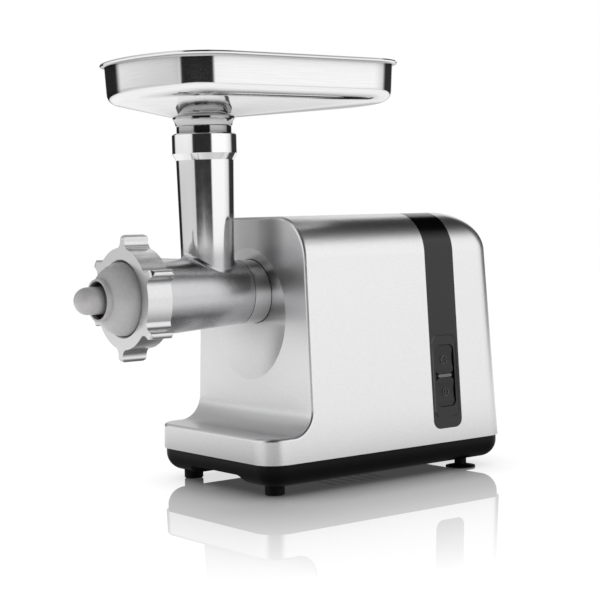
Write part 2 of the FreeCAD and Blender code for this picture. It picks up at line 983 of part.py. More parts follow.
def make_kibbe_former():
    disc_back = head_front + recess_depth
    disc_front = head_front + seat_gap
    nose = nut_front - former_nose
    ball = nose + former_rod_radius
    bend = former_rod_radius * math.sqrt(0.5)
    disc = rod_x(recess_radius - seat_gap, disc_front, disc_back)
    rod = lathe_x([
        (disc_back, 0),
        (disc_back, former_hub_radius),
        (disc_front - former_hub_length, former_hub_radius),
        (disc_front - former_hub_length - former_taper, former_rod_radius),
        (ball, former_rod_radius),
        ((ball - bend, bend), (nose, 0)),
    ])
    ring = rod_x(former_window_radius, disc_front - 1, disc_back + 1)
    spokes = []
    for n in range(former_spokes):
        spoke = box(
            disc_front - 1, disc_back + 1, -former_spoke / 2, former_spoke / 2,
            axis_z, axis_z + recess_radius,
        )
        spokes.append(turned(spoke, n * 360 / former_spokes))
    windows = ring.cut(Part.makeCompound(spokes)).cut(rod_x(former_hub_radius, head_front - 1, 0))
    bore = rod_x(stub_radius + running_gap, disc_back - hub_depth, disc_back + 1)
    return fuse(disc.cut(windows), rod).cut(bore)


# Feed screw
screw_front = head_front + recess_depth + seat_gap
screw_rear = head_rear - rear_wall - seat_gap


def make_feed_screw():
    core = lathe_x([
        (screw_front - hub_depth + 2 * seat_gap, 0),
        (screw_front - hub_depth + 2 * seat_gap, stub_radius),
        (screw_front, stub_radius),
        (screw_front, screw_front_core),
        (screw_rear, screw_rear_core),
        (screw_rear, 0),
    ])
    length = screw_rear - screw_front - flight_thickness
    tip = bore_radius - screw_gap
    root = screw_front_core - flight_sink
    helix = Part.makeLongHelix(screw_pitch, length, tip)
    section = outline([
        V(root, 0, -flight_root / 2),
        V(tip, 0, -flight_tip / 2),
        V(tip, 0, flight_tip / 2),
        V(root, 0, flight_root / 2),
    ])
    flight = Part.Wire(helix.Edges).makePipeShell([section], True, True)
    flight.rotate(V(0, 0, 0), V(0, 1, 0), 90)
    flight.translate(V(screw_front + flight_thickness / 2, 0, axis_z))
    ends = rod_x(tip, screw_front, screw_rear)
    return fuse(core, flight.common(ends))


bush_back = head_rear - seat_gap
shank_back = head_rear + shank_length


def make_drive_shank():
    return hexagon_x(shank_flats, screw_rear, shank_back)


def make_screw_bush():
    return rod_x(bush_radius, screw_rear, bush_back).cut(
        hexagon_x(shank_flats, screw_rear, bush_back)
    )


def make_output_shaft():
    mouth = head_rear + seat_gap
    socket = rod_x(socket_radius, mouth, seat_x)
    shaft = rod_x(output_shaft_radius, seat_x, cover_x + end_wall - seat_gap)
    hole = hexagon_x(shank_flats + 2 * running_gap, mouth - 1, shank_back + seat_gap)
    return fuse(socket, shaft).cut(hole)


# Gear train
def tip_radius(teeth, module):
    return module * (teeth / 2 + tooth_addendum)


def mesh_distance(stage):
    return stage_modules[stage] * (pinion_teeth + wheel_teeth) / 2


def circles_meet(first, first_reach, second, second_reach, side):
    """The point at two given distances from two points, on the chosen side."""
    dy = second[0] - first[0]
    dz = second[1] - first[1]
    span = math.hypot(dy, dz)
    along = (first_reach ** 2 - second_reach ** 2 + span ** 2) / (2 * span)
    off = side * math.sqrt(first_reach ** 2 - along ** 2)
    return (
        first[0] + (along * dy - off * dz) / span,
        first[1] + (along * dz + off * dy) / span,
    )


output_at = (0.0, axis_z)
motor_at = (0.0, motor_z)
second_drop = math.sqrt(mesh_distance(2) ** 2 - second_layshaft_y ** 2)
second_at = (second_layshaft_y, axis_z - second_drop)
first_at = circles_meet(motor_at, mesh_distance(0), second_at, mesh_distance(1), -1)


def bearing_angle(start, end):
    return math.atan2(end[1] - start[1], end[0] - start[0])


def mesh_phase(teeth, phase, here, other_teeth, there):
    """The turn that puts the other gear's gap opposite this gear's tooth."""
    towards = bearing_angle(here, there)
    rolled = (phase - towards) * teeth / other_teeth
    return towards + math.pi + math.pi / other_teeth - rolled


output_phase = 0.0
second_pinion_phase = mesh_phase(wheel_teeth, output_phase, output_at, pinion_teeth, second_at)
second_wheel_phase = 0.0
first_pinion_phase = mesh_phase(wheel_teeth, second_wheel_phase, second_at, pinion_teeth, first_at)
first_wheel_phase = 0.0
motor_pinion_phase = mesh_phase(wheel_teeth, first_wheel_phase, first_at, pinion_teeth, motor_at)


def make_gear(teeth, module, x0, width, centre, phase, bore):
    """A spur gear with involute flanks, each drawn as an arc through three points of it."""
    pitch_radius = teeth * module / 2
    base = pitch_radius * math.cos(math.radians(pressure_angle))
    root = pitch_radius - tooth_dedendum * module
    tip = tip_radius(teeth, module)
    start = max(root, base)
    lean = math.radians(pressure_angle)
    half_tooth = math.pi / (2 * teeth) - backlash / (4 * pitch_radius) + math.tan(lean) - lean

    def flank(radius):
        roll = math.acos(min(1.0, base / radius))
        return half_tooth - math.tan(roll) + roll

    def at(radius, angle):
        return V(
            x0, centre[0] + radius * math.cos(angle), centre[1] + radius * math.sin(angle)
        )
    middle = (start + tip) / 2
    points = []
    for n in range(teeth):
        tooth = phase + 2 * math.pi * n / teeth
        points.append(at(root, tooth - flank(start)))
        points.append(at(start, tooth - flank(start)))
        points.append((at(middle, tooth - flank(middle)), at(tip, tooth - flank(tip))))
        points.append(at(tip, tooth + flank(tip)))
        points.append((at(middle, tooth + flank(middle)), at(start, tooth + flank(start))))
        points.append(at(root, tooth + flank(start)))
    solid = Part.Face(outline(points)).extrude(V(width, 0, 0))
    return solid.cut(rod_x(bore, x0 - 1, x0 + width + 1, *centre))


def make_wheel(stage, x0, centre, phase, bore):
    """A large gear, lightened by a web between its rim and its hub."""
    module = stage_modules[stage]
    width = stage_widths[stage]
    gear = make_gear(wheel_teeth, module, x0, width, centre, phase, bore)
    rim = module * (wheel_teeth / 2 - tooth_dedendum) - wheel_rim
    hub = bore + wheel_rim
    depth = width / 3
    for x in (x0, x0 + width - depth):
        gear = gear.cut(tube_x(rim, hub, x, x + depth, *centre))
    return gear


def make_pinion(stage, x0, centre, phase, bore):
    return make_gear(
        pinion_teeth, stage_modules[stage], x0, stage_widths[stage], centre, phase, bore
    )


def make_layshaft(centre):
    return rod_x(layshaft_radius, case_front + seat_gap, cover_x + end_wall - seat_gap, *centre)


# Gear case
def gear_space(grow, x0, x1):
    """The room round every gear, as overlapping rounds."""
    rounds = [
        (output_at, tip_radius(wheel_teeth, stage_modules[2])),
        (second_at, tip_radius(wheel_teeth, stage_modules[1])),
        (first_at, tip_radius(wheel_teeth, stage_modules[0])),
        (motor_at, tip_radius(pinion_teeth, stage_modules[0]) + case_wall),
    ]
    solids = [rod_x(radius + gear_clearance + grow, x0, x1, *at) for at, radius in rounds]
    return fuse(*solids)


def case_screw_places():
    """Screw lugs on the outside of the case, by the gear that they stand beside."""
    found = []
    places = [
        (output_at, stage_modules[2], output_lug_angles),
        (second_at, stage_modules[1], second_lug_angles),
        (first_at, stage_modules[0], first_lug_angles),
    ]
    for centre, module, angles in places:
        reach = tip_radius(wheel_teeth, module) + gear_clearance + case_wall + case_screw_radius
        for degrees in angles:
            angle = math.radians(degrees)
            found.append((
                centre[0] + reach * math.cos(angle), centre[1] + reach * math.sin(angle)
            ))
    return found


def make_gear_case():
    shell = gear_space(case_wall, case_front, cover_x)
    lugs = [rod_x(case_lug_radius, case_inside, cover_x, *at) for at in case_screw_places()]
    shell = fuse(shell, *lugs)
    cuts = [
        gear_space(0.0, case_inside, cover_x + 1),
        rod_x(output_shaft_radius + bush_wall, case_front - 1, case_inside + 1),
        rod_x(layshaft_radius + bush_wall, case_front, case_inside + 1, *second_at),
        rod_x(layshaft_radius + bush_wall, case_front, case_inside + 1, *first_at),
    ]
    holes = [rod_x(case_screw_radius, case_inside, cover_x + 1, *at) for at in case_screw_places()]
    return shell.cut(Part.makeCompound(cuts)).cut(Part.makeCompound(holes))


def bolt_places():
    return [
        (side_y * bolt_offset, motor_z + side_z * bolt_offset)
        for side_y in (-1, 1) for side_z in (-1, 1)
    ]


def make_gear_cover():
    plate = gear_space(case_wall, cover_x, cover_back)
    lugs = [rod_x(case_lug_radius, cover_x, cover_back, *at) for at in case_screw_places()]
    nose = rod_x(bearing_radius + bush_wall, cover_x, cover_back + bearing_width, *motor_at)
    posts = [rod_x(post_radius, cover_back - 1, stator_x, *at) for at in bolt_places()]
    arms = []
    for y, z in bolt_places():
        arms.append(box(
            cover_x, cover_back, min(0, y), max(0, y), min(motor_z, z), max(motor_z, z)
        ))
    plate = fuse(plate, nose, *(lugs + posts + arms))
    cuts = [
        rod_x(output_shaft_radius + bush_wall, cover_x, cover_x + end_wall),
        rod_x(layshaft_radius + bush_wall, cover_x, cover_x + end_wall, *second_at),
        rod_x(layshaft_radius + bush_wall, cover_x, cover_x + end_wall, *first_at),
        rod_x(bearing_radius, cover_back, cover_back + bearing_width, *motor_at),
        rod_x(motor_shaft_radius + motor_shaft_gap, cover_x - 1, cover_back + 1, *motor_at),
    ]
    holes = [
        rod_x(case_screw_radius, cover_x - 1, cover_back + 1, *at) for at in case_screw_places()
    ]
    holes += [rod_x(bolt_radius, cover_back, stator_x, *at) for at in bolt_places()]
    return plate.cut(Part.makeCompound(cuts)).cut(Part.makeCompound(holes))


def make_case_screws():
    screws = []
    for at in case_screw_places():
        head = rod_x(case_screw_head, cover_back, cover_back + case_screw_head, *at)
        shank = rod_x(case_screw_radius, case_inside + end_wall, cover_back, *at)
        screws.append(fuse(head, shank))
    return Part.makeCompound(screws)


def make_output_bushes():
    outer = output_shaft_radius + bush_wall
    bore = output_shaft_radius + running_gap / 2
    return Part.makeCompound([
        tube_x(outer, bore, case_front, case_inside),
        tube_x(outer, bore, cover_x, cover_x + end_wall),
    ])


def make_layshaft_bushes():
    outer = layshaft_radius + bush_wall
    bore = layshaft_radius + running_gap / 2
    bushes = []
    for at in (first_at, second_at):
        bushes.append(tube_x(outer, bore, case_front, case_inside, *at))
        bushes.append(tube_x(outer, bore, cover_x, cover_x + end_wall, *at))
    return Part.makeCompound(bushes)


# Motor
def sector_x(inner, outer, start, stop, x0, x1):
    """Part of a ring round the motor axis, between two angles from +Y."""
    face = Part.Face(outline([
        V(x0, inner, motor_z), V(x1, inner, motor_z), V(x1, outer, motor_z), V(x0, outer, motor_z)
    ]))
    solid = face.revolve(V(0, 0, motor_z), V(1, 0, 0), stop - start)
    return turned(solid, start, *motor_at)


def make_stator_core():
    wire = outline_square(stator_x)
    core = Part.Face(wire).extrude(V(stator_length, 0, 0))
    cuts = [rod_x(armature_radius + air_gap, stator_x - 1, stator_back + 1, *motor_at)]
    for start in (0, 180):
        cuts.append(sector_x(
            armature_radius, coil_outer + seat_gap, start - coil_side_angle - coil_margin,
            start + coil_side_angle + coil_margin, stator_x - 1, stator_back + 1,
        ))
    cuts += [rod_x(bolt_radius, stator_x - 1, stator_back + 1, *at) for at in bolt_places()]
    return core.cut(Part.makeCompound(cuts))


def outline_square(x):
    """The stator's rounded square, across the motor axis."""
    bend = stator_corner * arc_bend
    flat = stator_half - stator_corner
    tight = stator_half - bend

    def at(y, z):
        return V(x, y, motor_z + z)
    return outline([
        at(stator_half, -flat),
        at(stator_half, flat),
        (at(tight, tight), at(flat, stator_half)),
        at(-flat, stator_half),
        (at(-tight, tight), at(-stator_half, flat)),
        at(-stator_half, -flat),
        (at(-tight, -tight), at(-flat, -stator_half)),
        at(flat, -stator_half),
        (at(tight, -tight), at(stator_half, -flat)),
    ])


def make_field_coils():
    coils = []
    for turn in (0, 180):
        low = turn + coil_start_angle
        high = turn + 180 - coil_start_angle
        arches = [
            sector_x(coil_inner, coil_outer, low, high, stator_x - coil_overhang, stator_x),
            sector_x(coil_inner, coil_outer, low, high, stator_back, stator_back + coil_overhang),
            sector_x(coil_inner, coil_outer, low, turn + coil_side_angle, stator_x, stator_back),
            sector_x(coil_inner, coil_outer, turn + 180 - coil_side_angle, high, stator_x, stator_back),
        ]
        coils.append(fuse(*arches))
    return Part.makeCompound(coils)


def make_rear_frame():
    bar = box(
        frame_x, frame_back, -bolt_offset - post_radius, bolt_offset + post_radius,
        motor_z - rear_frame_half_height, motor_z + rear_frame_half_height,
    )
    arms = []
    for y, z in bolt_places():
        arms.append(box(
            frame_x, frame_back, y - post_radius, y + post_radius, min(z, motor_z), max(z, motor_z)
        ))
        arms.append(rod_x(post_radius, stator_back, frame_back, y, z))
    frame = fuse(bar, *arms)
    cuts = [rod_x(bearing_radius, frame_x - 1, frame_x + bearing_width, *motor_at)]
    cuts += [rod_x(bolt_radius, stator_back - 1, frame_back + 1, *at) for at in bolt_places()]
    return frame.cut(Part.makeCompound(cuts))


def make_motor_bolts():
    bolts = []
    for at in bolt_places():
        head = rod_x(case_screw_head, frame_back, frame_back + case_screw_head, *at)
        bolts.append(fuse(head, rod_x(bolt_radius, cover_back, frame_back, *at)))
    return Part.makeCompound(bolts)


def make_motor_bearings():
    bore = motor_shaft_radius + running_gap / 2
    return Part.makeCompound([
        tube_x(bearing_radius, bore, cover_back, cover_back + bearing_width, *motor_at),
        tube_x(bearing_radius, bore, frame_x, frame_x + bearing_width, *motor_at),
    ])


def make_motor_shaft():
    return rod_x(
        motor_shaft_radius, first_x - stage_gap / 2, frame_x + bearing_width - seat_gap, *motor_at
    )


def make_armature_core():
    core = tube_x(armature_radius, motor_shaft_radius, stator_x, stator_back, *motor_at)
    slots = []
    for n in range(armature_slots):
        slot = box(
            stator_x - 1, stator_back + 1, -slot_width / 2, slot_width / 2,
            motor_z + armature_radius - slot_depth, motor_z + armature_radius + 1,
        )
        slots.append(turned(slot, n * 360 / armature_slots, *motor_at))
    return core.cut(Part.makeCompound(slots))


def make_windings():
    """Both end turns of the armature, as rounded rings."""
    rings = []
    for near, way in ((stator_x, -1), (stator_back, 1)):
        far = near + way * winding_length
        bend = winding_round * arc_bend
        rings.append(lathe_x([
            (near, motor_shaft_radius),
            (near, winding_radius),
            (far - way * winding_round, winding_radius),
            ((far - way * bend, winding_radius - bend), (far, winding_radius - winding_round)),
            (far, motor_shaft_radius),
        ], *motor_at))
    return Part.makeCompound(rings)


def make_commutator():
    sleeve = motor_shaft_radius + commutator_sleeve
    riser = commutator_radius + riser_height
    return lathe_x([
        (commutator_x - commutator_gap, motor_shaft_radius),
        (commutator_x - commutator_gap, sleeve),
        (commutator_x, sleeve),
        (commutator_x, riser),
        (commutator_x + riser_length, riser),
        (commutator_x + riser_length, commutator_radius),
        (commutator_x + commutator_length, commutator_radius),
        (commutator_x + commutator_length, motor_shaft_radius),
    ], *motor_at)


def make_cooling_fan():
    plate = rod_x(fan_radius, fan_x, fan_back, *motor_at)
    blades = []
    for n in range(fan_blades):
        blade = box(
            fan_x, fan_x + fan_width, -fan_blade / 2, fan_blade / 2,
            motor_z + winding_radius + fan_blade_gap, motor_z + fan_radius - fan_edge,
        )
        blades.append(turned(blade, n * 360 / fan_blades, *motor_at))
    return fuse(plate, *blades).cut(rod_x(motor_shaft_radius, fan_x, fan_back, *motor_at))


def brush_box(side, grow, y0, y1):
    x = commutator_x + brush_station
    low = min(side * y0, side * y1)
    high = max(side * y0, side * y1)
    return box(
        x - brush_width / 2 - grow, x + brush_width / 2 + grow, low, high,
        motor_z - brush_height / 2 - grow, motor_z + brush_height / 2 + grow,
    )


brush_start = commutator_radius + brush_gap


def make_carbon_brushes():
    brushes = []
    for side in (-1, 1):
        brush = brush_box(side, 0, brush_start, brush_start + brush_length)
        shape = rod_x(brush_start, commutator_x, frame_x, *motor_at)
        brushes.append(brush.cut(shape))
    return Part.makeCompound(brushes)


def make_brush_holders():
    """Brass boxes round the brushes, each with a foot on the rear frame."""
    holders = []
    for side in (-1, 1):
        start = brush_start + brush_height / 2
        sleeve = brush_box(side, holder_wall, start, brush_start + brush_length + holder_wall)
        bracket = brush_box(side, holder_wall, start + 1, brush_start + brush_length)
        reach = box(
            bracket.BoundBox.XMax - 0.5, frame_x, bracket.BoundBox.YMin, bracket.BoundBox.YMax,
            motor_z - brush_height / 2, motor_z + brush_height / 2,
        )
        holder = fuse(sleeve, reach)
        holders.append(holder.cut(brush_box(side, 0, brush_start - 1, brush_start + brush_length)))
    return Part.makeCompound(holders)


def make_motor_pads():
    return Part.makeCompound([
        box(x, x + pad_width, -pad_half_width, pad_half_width, pad_z, pad_z + pad_thickness)
        for x in pad_stations
    ])


# Board and gland
def make_control_board():
    board = box(
        board_x, board_x + board_length, -board_width / 2, board_width / 2,
        board_z, board_z + board_thickness,
    )
    top = board_z + board_thickness

    def block(at, size):
        x = board_x + at[0]
        return box(x, x + size[0], at[1], at[1] + size[1], top, top + size[2])
    choke = rod_z(choke_radius, top, top + choke_height, board_x + choke_at[0], choke_at[1])
    relay = block(relay_at, relay_size)
    return fuse(board, relay, choke, block(terminal_at, terminal_size))


def make_cord_gland():
    """A rubber bush in the rear wall, with a lip on both sides of it."""
    slope = gland_radius * tan(rear_draft)
    outside = rear_face(gland_z) + slope
    inside = rear_face(gland_z) - shell_wall - slope
    return lathe_x([
        (inside - gland_lip, gland_bore),
        (inside - gland_lip, gland_neck + gland_lip / 2),
        (inside, gland_neck + gland_lip / 2),
        (inside, gland_neck),
        (outside, gland_neck),
        (outside, gland_radius),
        (rear_x, gland_radius - gland_lip / 2),
        (rear_x, gland_bore),
    ], gland_y, gland_z)


pieces = {
    "body_shell": make_body_shell,
    "trim_band": make_trim_band,
    "reverse_button": lambda: make_key((key_height + bar_height) / 2 + button_gap),
    "power_button": lambda: make_key(-(key_height + bar_height) / 2 - button_gap),
    "indicator_bar": make_indicator_bar,
    "switch_block": make_switch_block,
    "base": make_base,
    "base_screws": make_base_screws,
    "front_feet": make_front_feet,
    "rear_feet": make_rear_feet,
    "mount_collar": make_mount_collar,
    "head_casting": make_head_casting,
    "hopper_tray": make_hopper_tray,
    "ring_nut": make_ring_nut,
    "kibbe_cone": make_kibbe_cone,
    "kibbe_former": make_kibbe_former,
    "feed_screw": make_feed_screw,
    "drive_shank": make_drive_shank,
    "screw_bush": make_screw_bush,
    "output_shaft": make_output_shaft,
    "output_gear": lambda: make_wheel(2, third_x, output_at, output_phase, output_shaft_radius),
    "second_layshaft": lambda: make_layshaft(second_at),
    "second_pinion": lambda: make_pinion(2, third_x, second_at, second_pinion_phase, layshaft_radius),
    "second_wheel": lambda: make_wheel(1, second_x, second_at, second_wheel_phase, layshaft_radius),
    "first_layshaft": lambda: make_layshaft(first_at),
    "first_pinion": lambda: make_pinion(1, second_x, first_at, first_pinion_phase, layshaft_radius),
    "first_wheel": lambda: make_wheel(0, first_x, first_at, first_wheel_phase, layshaft_radius),
    "motor_pinion": lambda: make_pinion(0, first_x, motor_at, motor_pinion_phase, motor_shaft_radius),
    "gear_case": make_gear_case,
    "gear_cover": make_gear_cover,
    "case_screws": make_case_screws,
    "output_bushes": make_output_bushes,
    "layshaft_bushes": make_layshaft_bushes,
    "stator_core": make_stator_core,
    "field_coils": make_field_coils,
    "rear_frame": make_rear_frame,
    "motor_bolts": make_motor_bolts,
    "motor_bearings": make_motor_bearings,
    "motor_shaft": make_motor_shaft,
    "armature_core": make_armature_core,
    "armature_windings": make_windings,
    "commutator": make_commutator,
    "cooling_fan": make_cooling_fan,
    "carbon_brushes": make_carbon_brushes,
    "brush_holders": make_brush_holders,
    "motor_pads": make_motor_pads,
    "control_board": make_control_board,
    "cord_gland": make_cord_gland,
}

os.makedirs("parts", exist_ok=True)
for name, make in pieces.items():
    make().exportStep("parts/" + name + ".step")
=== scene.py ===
# %% [markdown]
# # An electric meat grinder
# The solids of the grinder come in as a fixed frame, in metres, with the outlet towards -X,
# the buttons on -Y and the feet on z = 0. This lesson gives them finishes, draws the pressed
# tray and the signs on the keys, and lights the whole as on a photographer's table.

# %% Load the solids
import bpy
import json
import math
from mathutils import Matrix, Vector


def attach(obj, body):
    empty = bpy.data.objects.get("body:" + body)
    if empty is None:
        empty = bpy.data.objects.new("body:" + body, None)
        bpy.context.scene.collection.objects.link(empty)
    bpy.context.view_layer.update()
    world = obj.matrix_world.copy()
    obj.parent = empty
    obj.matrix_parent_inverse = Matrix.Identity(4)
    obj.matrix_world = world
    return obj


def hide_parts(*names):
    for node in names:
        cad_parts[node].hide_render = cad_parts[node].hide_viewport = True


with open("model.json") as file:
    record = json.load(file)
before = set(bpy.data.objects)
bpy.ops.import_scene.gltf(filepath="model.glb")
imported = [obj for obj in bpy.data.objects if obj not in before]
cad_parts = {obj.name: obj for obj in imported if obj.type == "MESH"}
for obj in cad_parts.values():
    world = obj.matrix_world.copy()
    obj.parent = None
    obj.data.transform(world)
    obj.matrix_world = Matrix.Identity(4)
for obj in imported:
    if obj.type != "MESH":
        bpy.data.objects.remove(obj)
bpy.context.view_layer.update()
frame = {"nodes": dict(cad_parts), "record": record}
nodes = frame["nodes"]
bpy.ops.object.select_all(action="DESELECT")
scene = bpy.context.scene
scene.view_settings.view_transform = "Standard"

# %% [markdown]
# ## Camera
# The camera stands in front of the buttons and to the left, a little above the output axis.
# A long lens keeps the body's edges nearly parallel. Its place was worked out from straight
# edges of the real object, so it is written as numbers: a place, three turns and a lens.

# %% Camera
camera_place = Vector((-0.71649, -0.98476, 0.20636))
camera_bearing = math.radians(-37.0424)
camera_dip = math.radians(3.0708)
camera_roll = math.radians(-1.5327)
focal_pixels = 1550.8861
picture_pixels = 600
sensor_millimetres = 36.0

lens_data = bpy.data.cameras.new("long_lens")
lens_data.sensor_width = sensor_millimetres
lens_data.lens = focal_pixels / picture_pixels * sensor_millimetres
camera = bpy.data.objects.new("long_lens", lens_data)
scene.collection.objects.link(camera)
across = Vector((math.cos(camera_bearing), math.sin(camera_bearing), 0))
ahead = Vector((
    -math.sin(camera_bearing) * math.cos(camera_dip),
    math.cos(camera_bearing) * math.cos(camera_dip),
    -math.sin(camera_dip),
))
above = across.cross(ahead)
right = math.cos(camera_roll) * across + math.sin(camera_roll) * above
up = -math.sin(camera_roll) * across + math.cos(camera_roll) * above
camera_turn = Matrix((right, up, -ahead)).transposed().to_4x4()
camera.matrix_world = Matrix.Translation(camera_place) @ camera_turn
scene.camera = camera
print("camera:", [round(v, 3) for v in camera_place], "lens:", round(lens_data.lens, 2), "mm")

# %% [markdown]
# ## Two helpers for finishes
# Colours are written as sRGB hex, as a paint card gives them, and one function turns them to
# the linear values that Blender mixes. Another adds a node: each socket takes a constant or
# the output of another node, so that every finish below reads as a short list of nodes.

# %% Helpers for finishes
def linear(hex_colour):
    """An sRGB hex colour as linear red, green, blue and a full alpha."""
    parts = [int(hex_colour[i:i + 2], 16) / 255 for i in (1, 3, 5)]
    return [c / 12.92 if c <= 0.04045 else ((c + 0.055) / 1.055) ** 2.4 for c in parts] + [1.0]


def add(tree, kind, sockets=None, stops=None, **settings):
    """Adds a node with its settings. Sockets take a constant or an output, stops fill a ramp."""
    node = tree.nodes.new(kind)
    for name, value in settings.items():
        setattr(node, name, value)
    for name, value in (sockets or {}).items():
        if isinstance(value, bpy.types.NodeSocket):
            tree.links.new(value, node.inputs[name])
        else:
            node.inputs[name].default_value = value
    if stops:
        steps = node.color_ramp.elements
        while len(steps) < len(stops):
            steps.new(0.5)
        for step, (place, level) in zip(steps, stops):
            step.position = place
            step.color = (level, level, level, 1)
    return node


print("middle grey is", round(linear("#808080")[0], 3), "in linear light")

# %% [markdown]
# ## The studio
# Polished metal shows what stands round it, so the studio is painted as a sky: a wide white
# belt of soft boxes, taller on the left, a dim ceiling, a dark gap where the photographer
# stands and a dark flag at each side behind the object. Those dark strips draw the crisp black
# stripes on polished steel. First come its brightnesses: round the sky in degrees from the
# camera, and up it in heights from -1, straight down, to 1, straight up.

# %% Brightness of the sky
levels_round = {
    "belt": [
        (-180, 0.8), (-171, 0.8), (-166, 0.02), (-129, 0.02), (-122, 0.95), (-60, 1.0),
        (-44, 0.9), (-39, 0.02), (25, 0.02), (30, 1.0), (82, 1.0), (106, 0.72), (116, 0.03),
        (158, 0.03), (163, 0.8), (180, 0.8),
    ],
    "upper_belt": [
        (-180, 0.45), (-135, 0.40), (-115, 0.56), (-50, 0.9), (-39, 0.02), (25, 0.02),
        (30, 1.0), (100, 1.0), (112, 0.05), (156, 0.05), (164, 0.9), (180, 0.8),
    ],
    "tall_share": [(-180, 1.0), (-48, 1.0), (-38, 0.0), (156, 0.0), (168, 1.0), (180, 1.0)],
}
levels_up = {
    "upper_share": [(-1.0, 0.0), (0.12, 0.0), (0.34, 1.0), (1.0, 1.0)],
    "low_lid": [(-1.0, 0.6), (0.0, 0.95), (0.05, 1.0), (0.48, 1.0), (0.70, 0.10), (1.0, 0.08)],
    "tall_lid": [(-1.0, 0.5), (0.0, 0.60), (0.08, 1.0), (0.72, 1.0), (0.92, 0.35), (1.0, 0.10)],
}
sky_strength = 1.10
print("sky levels:", *levels_round, *levels_up)

# %% [markdown]
# ## From a direction to a brightness
# A ray that leaves the scene has a direction. Its bearing is counted from the camera, so that
# the boxes stay where the photographer sees them, and its height is the upward share. One ramp
# for each list of levels turns bearing or height into a brightness.

# %% Levels of the sky
def sky_levels(tree):
    """The output of one ramp for each list of levels."""
    place = add(tree, "ShaderNodeTexCoord")
    parts = add(tree, "ShaderNodeSeparateXYZ", {0: place.outputs["Generated"]})
    bearing = add(tree, "ShaderNodeMath", {0: parts.outputs["Y"], 1: parts.outputs["X"]},
                  operation="ARCTAN2")
    from_camera = add(tree, "ShaderNodeMath", {
        0: bearing.outputs[0], 1: math.atan2(camera_place.y, camera_place.x),
    }, operation="SUBTRACT")
    wrapped = add(tree, "ShaderNodeMath", {0: from_camera.outputs[0], 1: math.pi, 2: -math.pi},
                  operation="WRAP")
    around = add(tree, "ShaderNodeMapRange", {
        "Value": wrapped.outputs[0], "From Min": -math.pi, "From Max": math.pi,
    })
    height = add(tree, "ShaderNodeMapRange", {"Value": parts.outputs["Z"], "From Min": -1})
    level = {}
    for name, levels in levels_round.items():
        stops = [((degrees + 180) / 360, value) for degrees, value in levels]
        level[name] = add(tree, "ShaderNodeValToRGB", {"Fac": around.outputs[0]}, stops).outputs[0]
    for name, levels in levels_up.items():
        stops = [((upward + 1) / 2, value) for upward, value in levels]
        level[name] = add(tree, "ShaderNodeValToRGB", {"Fac": height.outputs[0]}, stops).outputs[0]
    return level


print("sky ramps:", len(levels_round), "round and", len(levels_up), "up")

# %% [markdown]
# ## The sky
# The belt passes into its upper half with height, and a lid dims it towards the ceiling. The
# camera itself sees plain white, and so does the sharp mirror of the table: only rays that
# leave a rough surface see the boxes.

# %% Studio sky
def studio_sky():
    world = bpy.data.worlds.new("studio")
    scene.world = world
    world.use_nodes = True
    tree = world.node_tree
    tree.nodes.remove(tree.nodes["Background"])
    level = sky_levels(tree)
    belt = add(tree, "ShaderNodeMix", {
        0: level["upper_share"], 6: level["belt"], 7: level["upper_belt"],
    }, data_type="RGBA")
    lid = add(tree, "ShaderNodeMix", {
        0: level["tall_share"], 6: level["low_lid"], 7: level["tall_lid"],
    }, data_type="RGBA")
    sky = add(tree, "ShaderNodeMix", {0: 1.0, 6: belt.outputs[2], 7: lid.outputs[2]},
              data_type="RGBA", blend_type="MULTIPLY")
    boxes = add(tree, "ShaderNodeBackground", {"Color": sky.outputs[2], "Strength": sky_strength})
    paper = add(tree, "ShaderNodeBackground", {"Color": (1, 1, 1, 1), "Strength": 1.0})
    ray = add(tree, "ShaderNodeLightPath")
    plain = add(tree, "ShaderNodeMath", {
        0: ray.outputs["Is Camera Ray"], 1: ray.outputs["Is Singular Ray"],
    }, operation="MAXIMUM")
    chosen = add(tree, "ShaderNodeMixShader", {
        0: plain.outputs[0], 1: boxes.outputs[0], 2: paper.outputs[0],
    })
    tree.links.new(chosen.outputs[0], tree.nodes["World Output"].inputs["Surface"])
    return world


print("sky:", studio_sky().name, "at strength", sky_strength)

# %% [markdown]
# ## The table's acrylic
# The grinder stands on white glossy acrylic. The camera sees it as glowing white paper with a painted
# contact shadow close to the object, and mirroring it, and the mirror fades with distance from the
# footprint, as a photographer fades it with light from below. Every other ray sees glowing paper
# with painted shade close to the grinder, bright further off and dim again at the far edge.

# %% Acrylic
# the rectangle that the body covers on the table, and how far the looks of the table reach from it
footprint_middle = (0.0558, 0.0, 0.0)
footprint_half = (0.1195, 0.0765, 0.0)
# the painted contact shadow, the mirror and the painted shade of the glowing paper
contact_reach = 0.06
contact_openness = (0.15, 0.85)
contact_shadow_glow = (0.12, 1.02)
mirror_reach = 0.26
mirror_share = 0.66
floor_reach = 3.0
floor_shade_levels = [(0.0, 0.15), (0.02, 0.40), (0.06, 0.80), (0.12, 1.0), (0.4, 1.0), (0.9, 0.75)]


def distance_outside(tree, place, middle, half):
    """How far a place lies outside a box with this middle and these half sizes."""
    off = add(tree, "ShaderNodeVectorMath", {0: place, 1: middle}, operation="SUBTRACT")
    size = add(tree, "ShaderNodeVectorMath", {0: off.outputs[0]}, operation="ABSOLUTE")
    past = add(tree, "ShaderNodeVectorMath", {0: size.outputs[0], 1: half}, operation="SUBTRACT")
    outside = add(tree, "ShaderNodeVectorMath", {0: past.outputs[0]}, operation="MAXIMUM")
    length = add(tree, "ShaderNodeVectorMath", {0: outside.outputs[0]}, operation="LENGTH")
    return length.outputs["Value"]


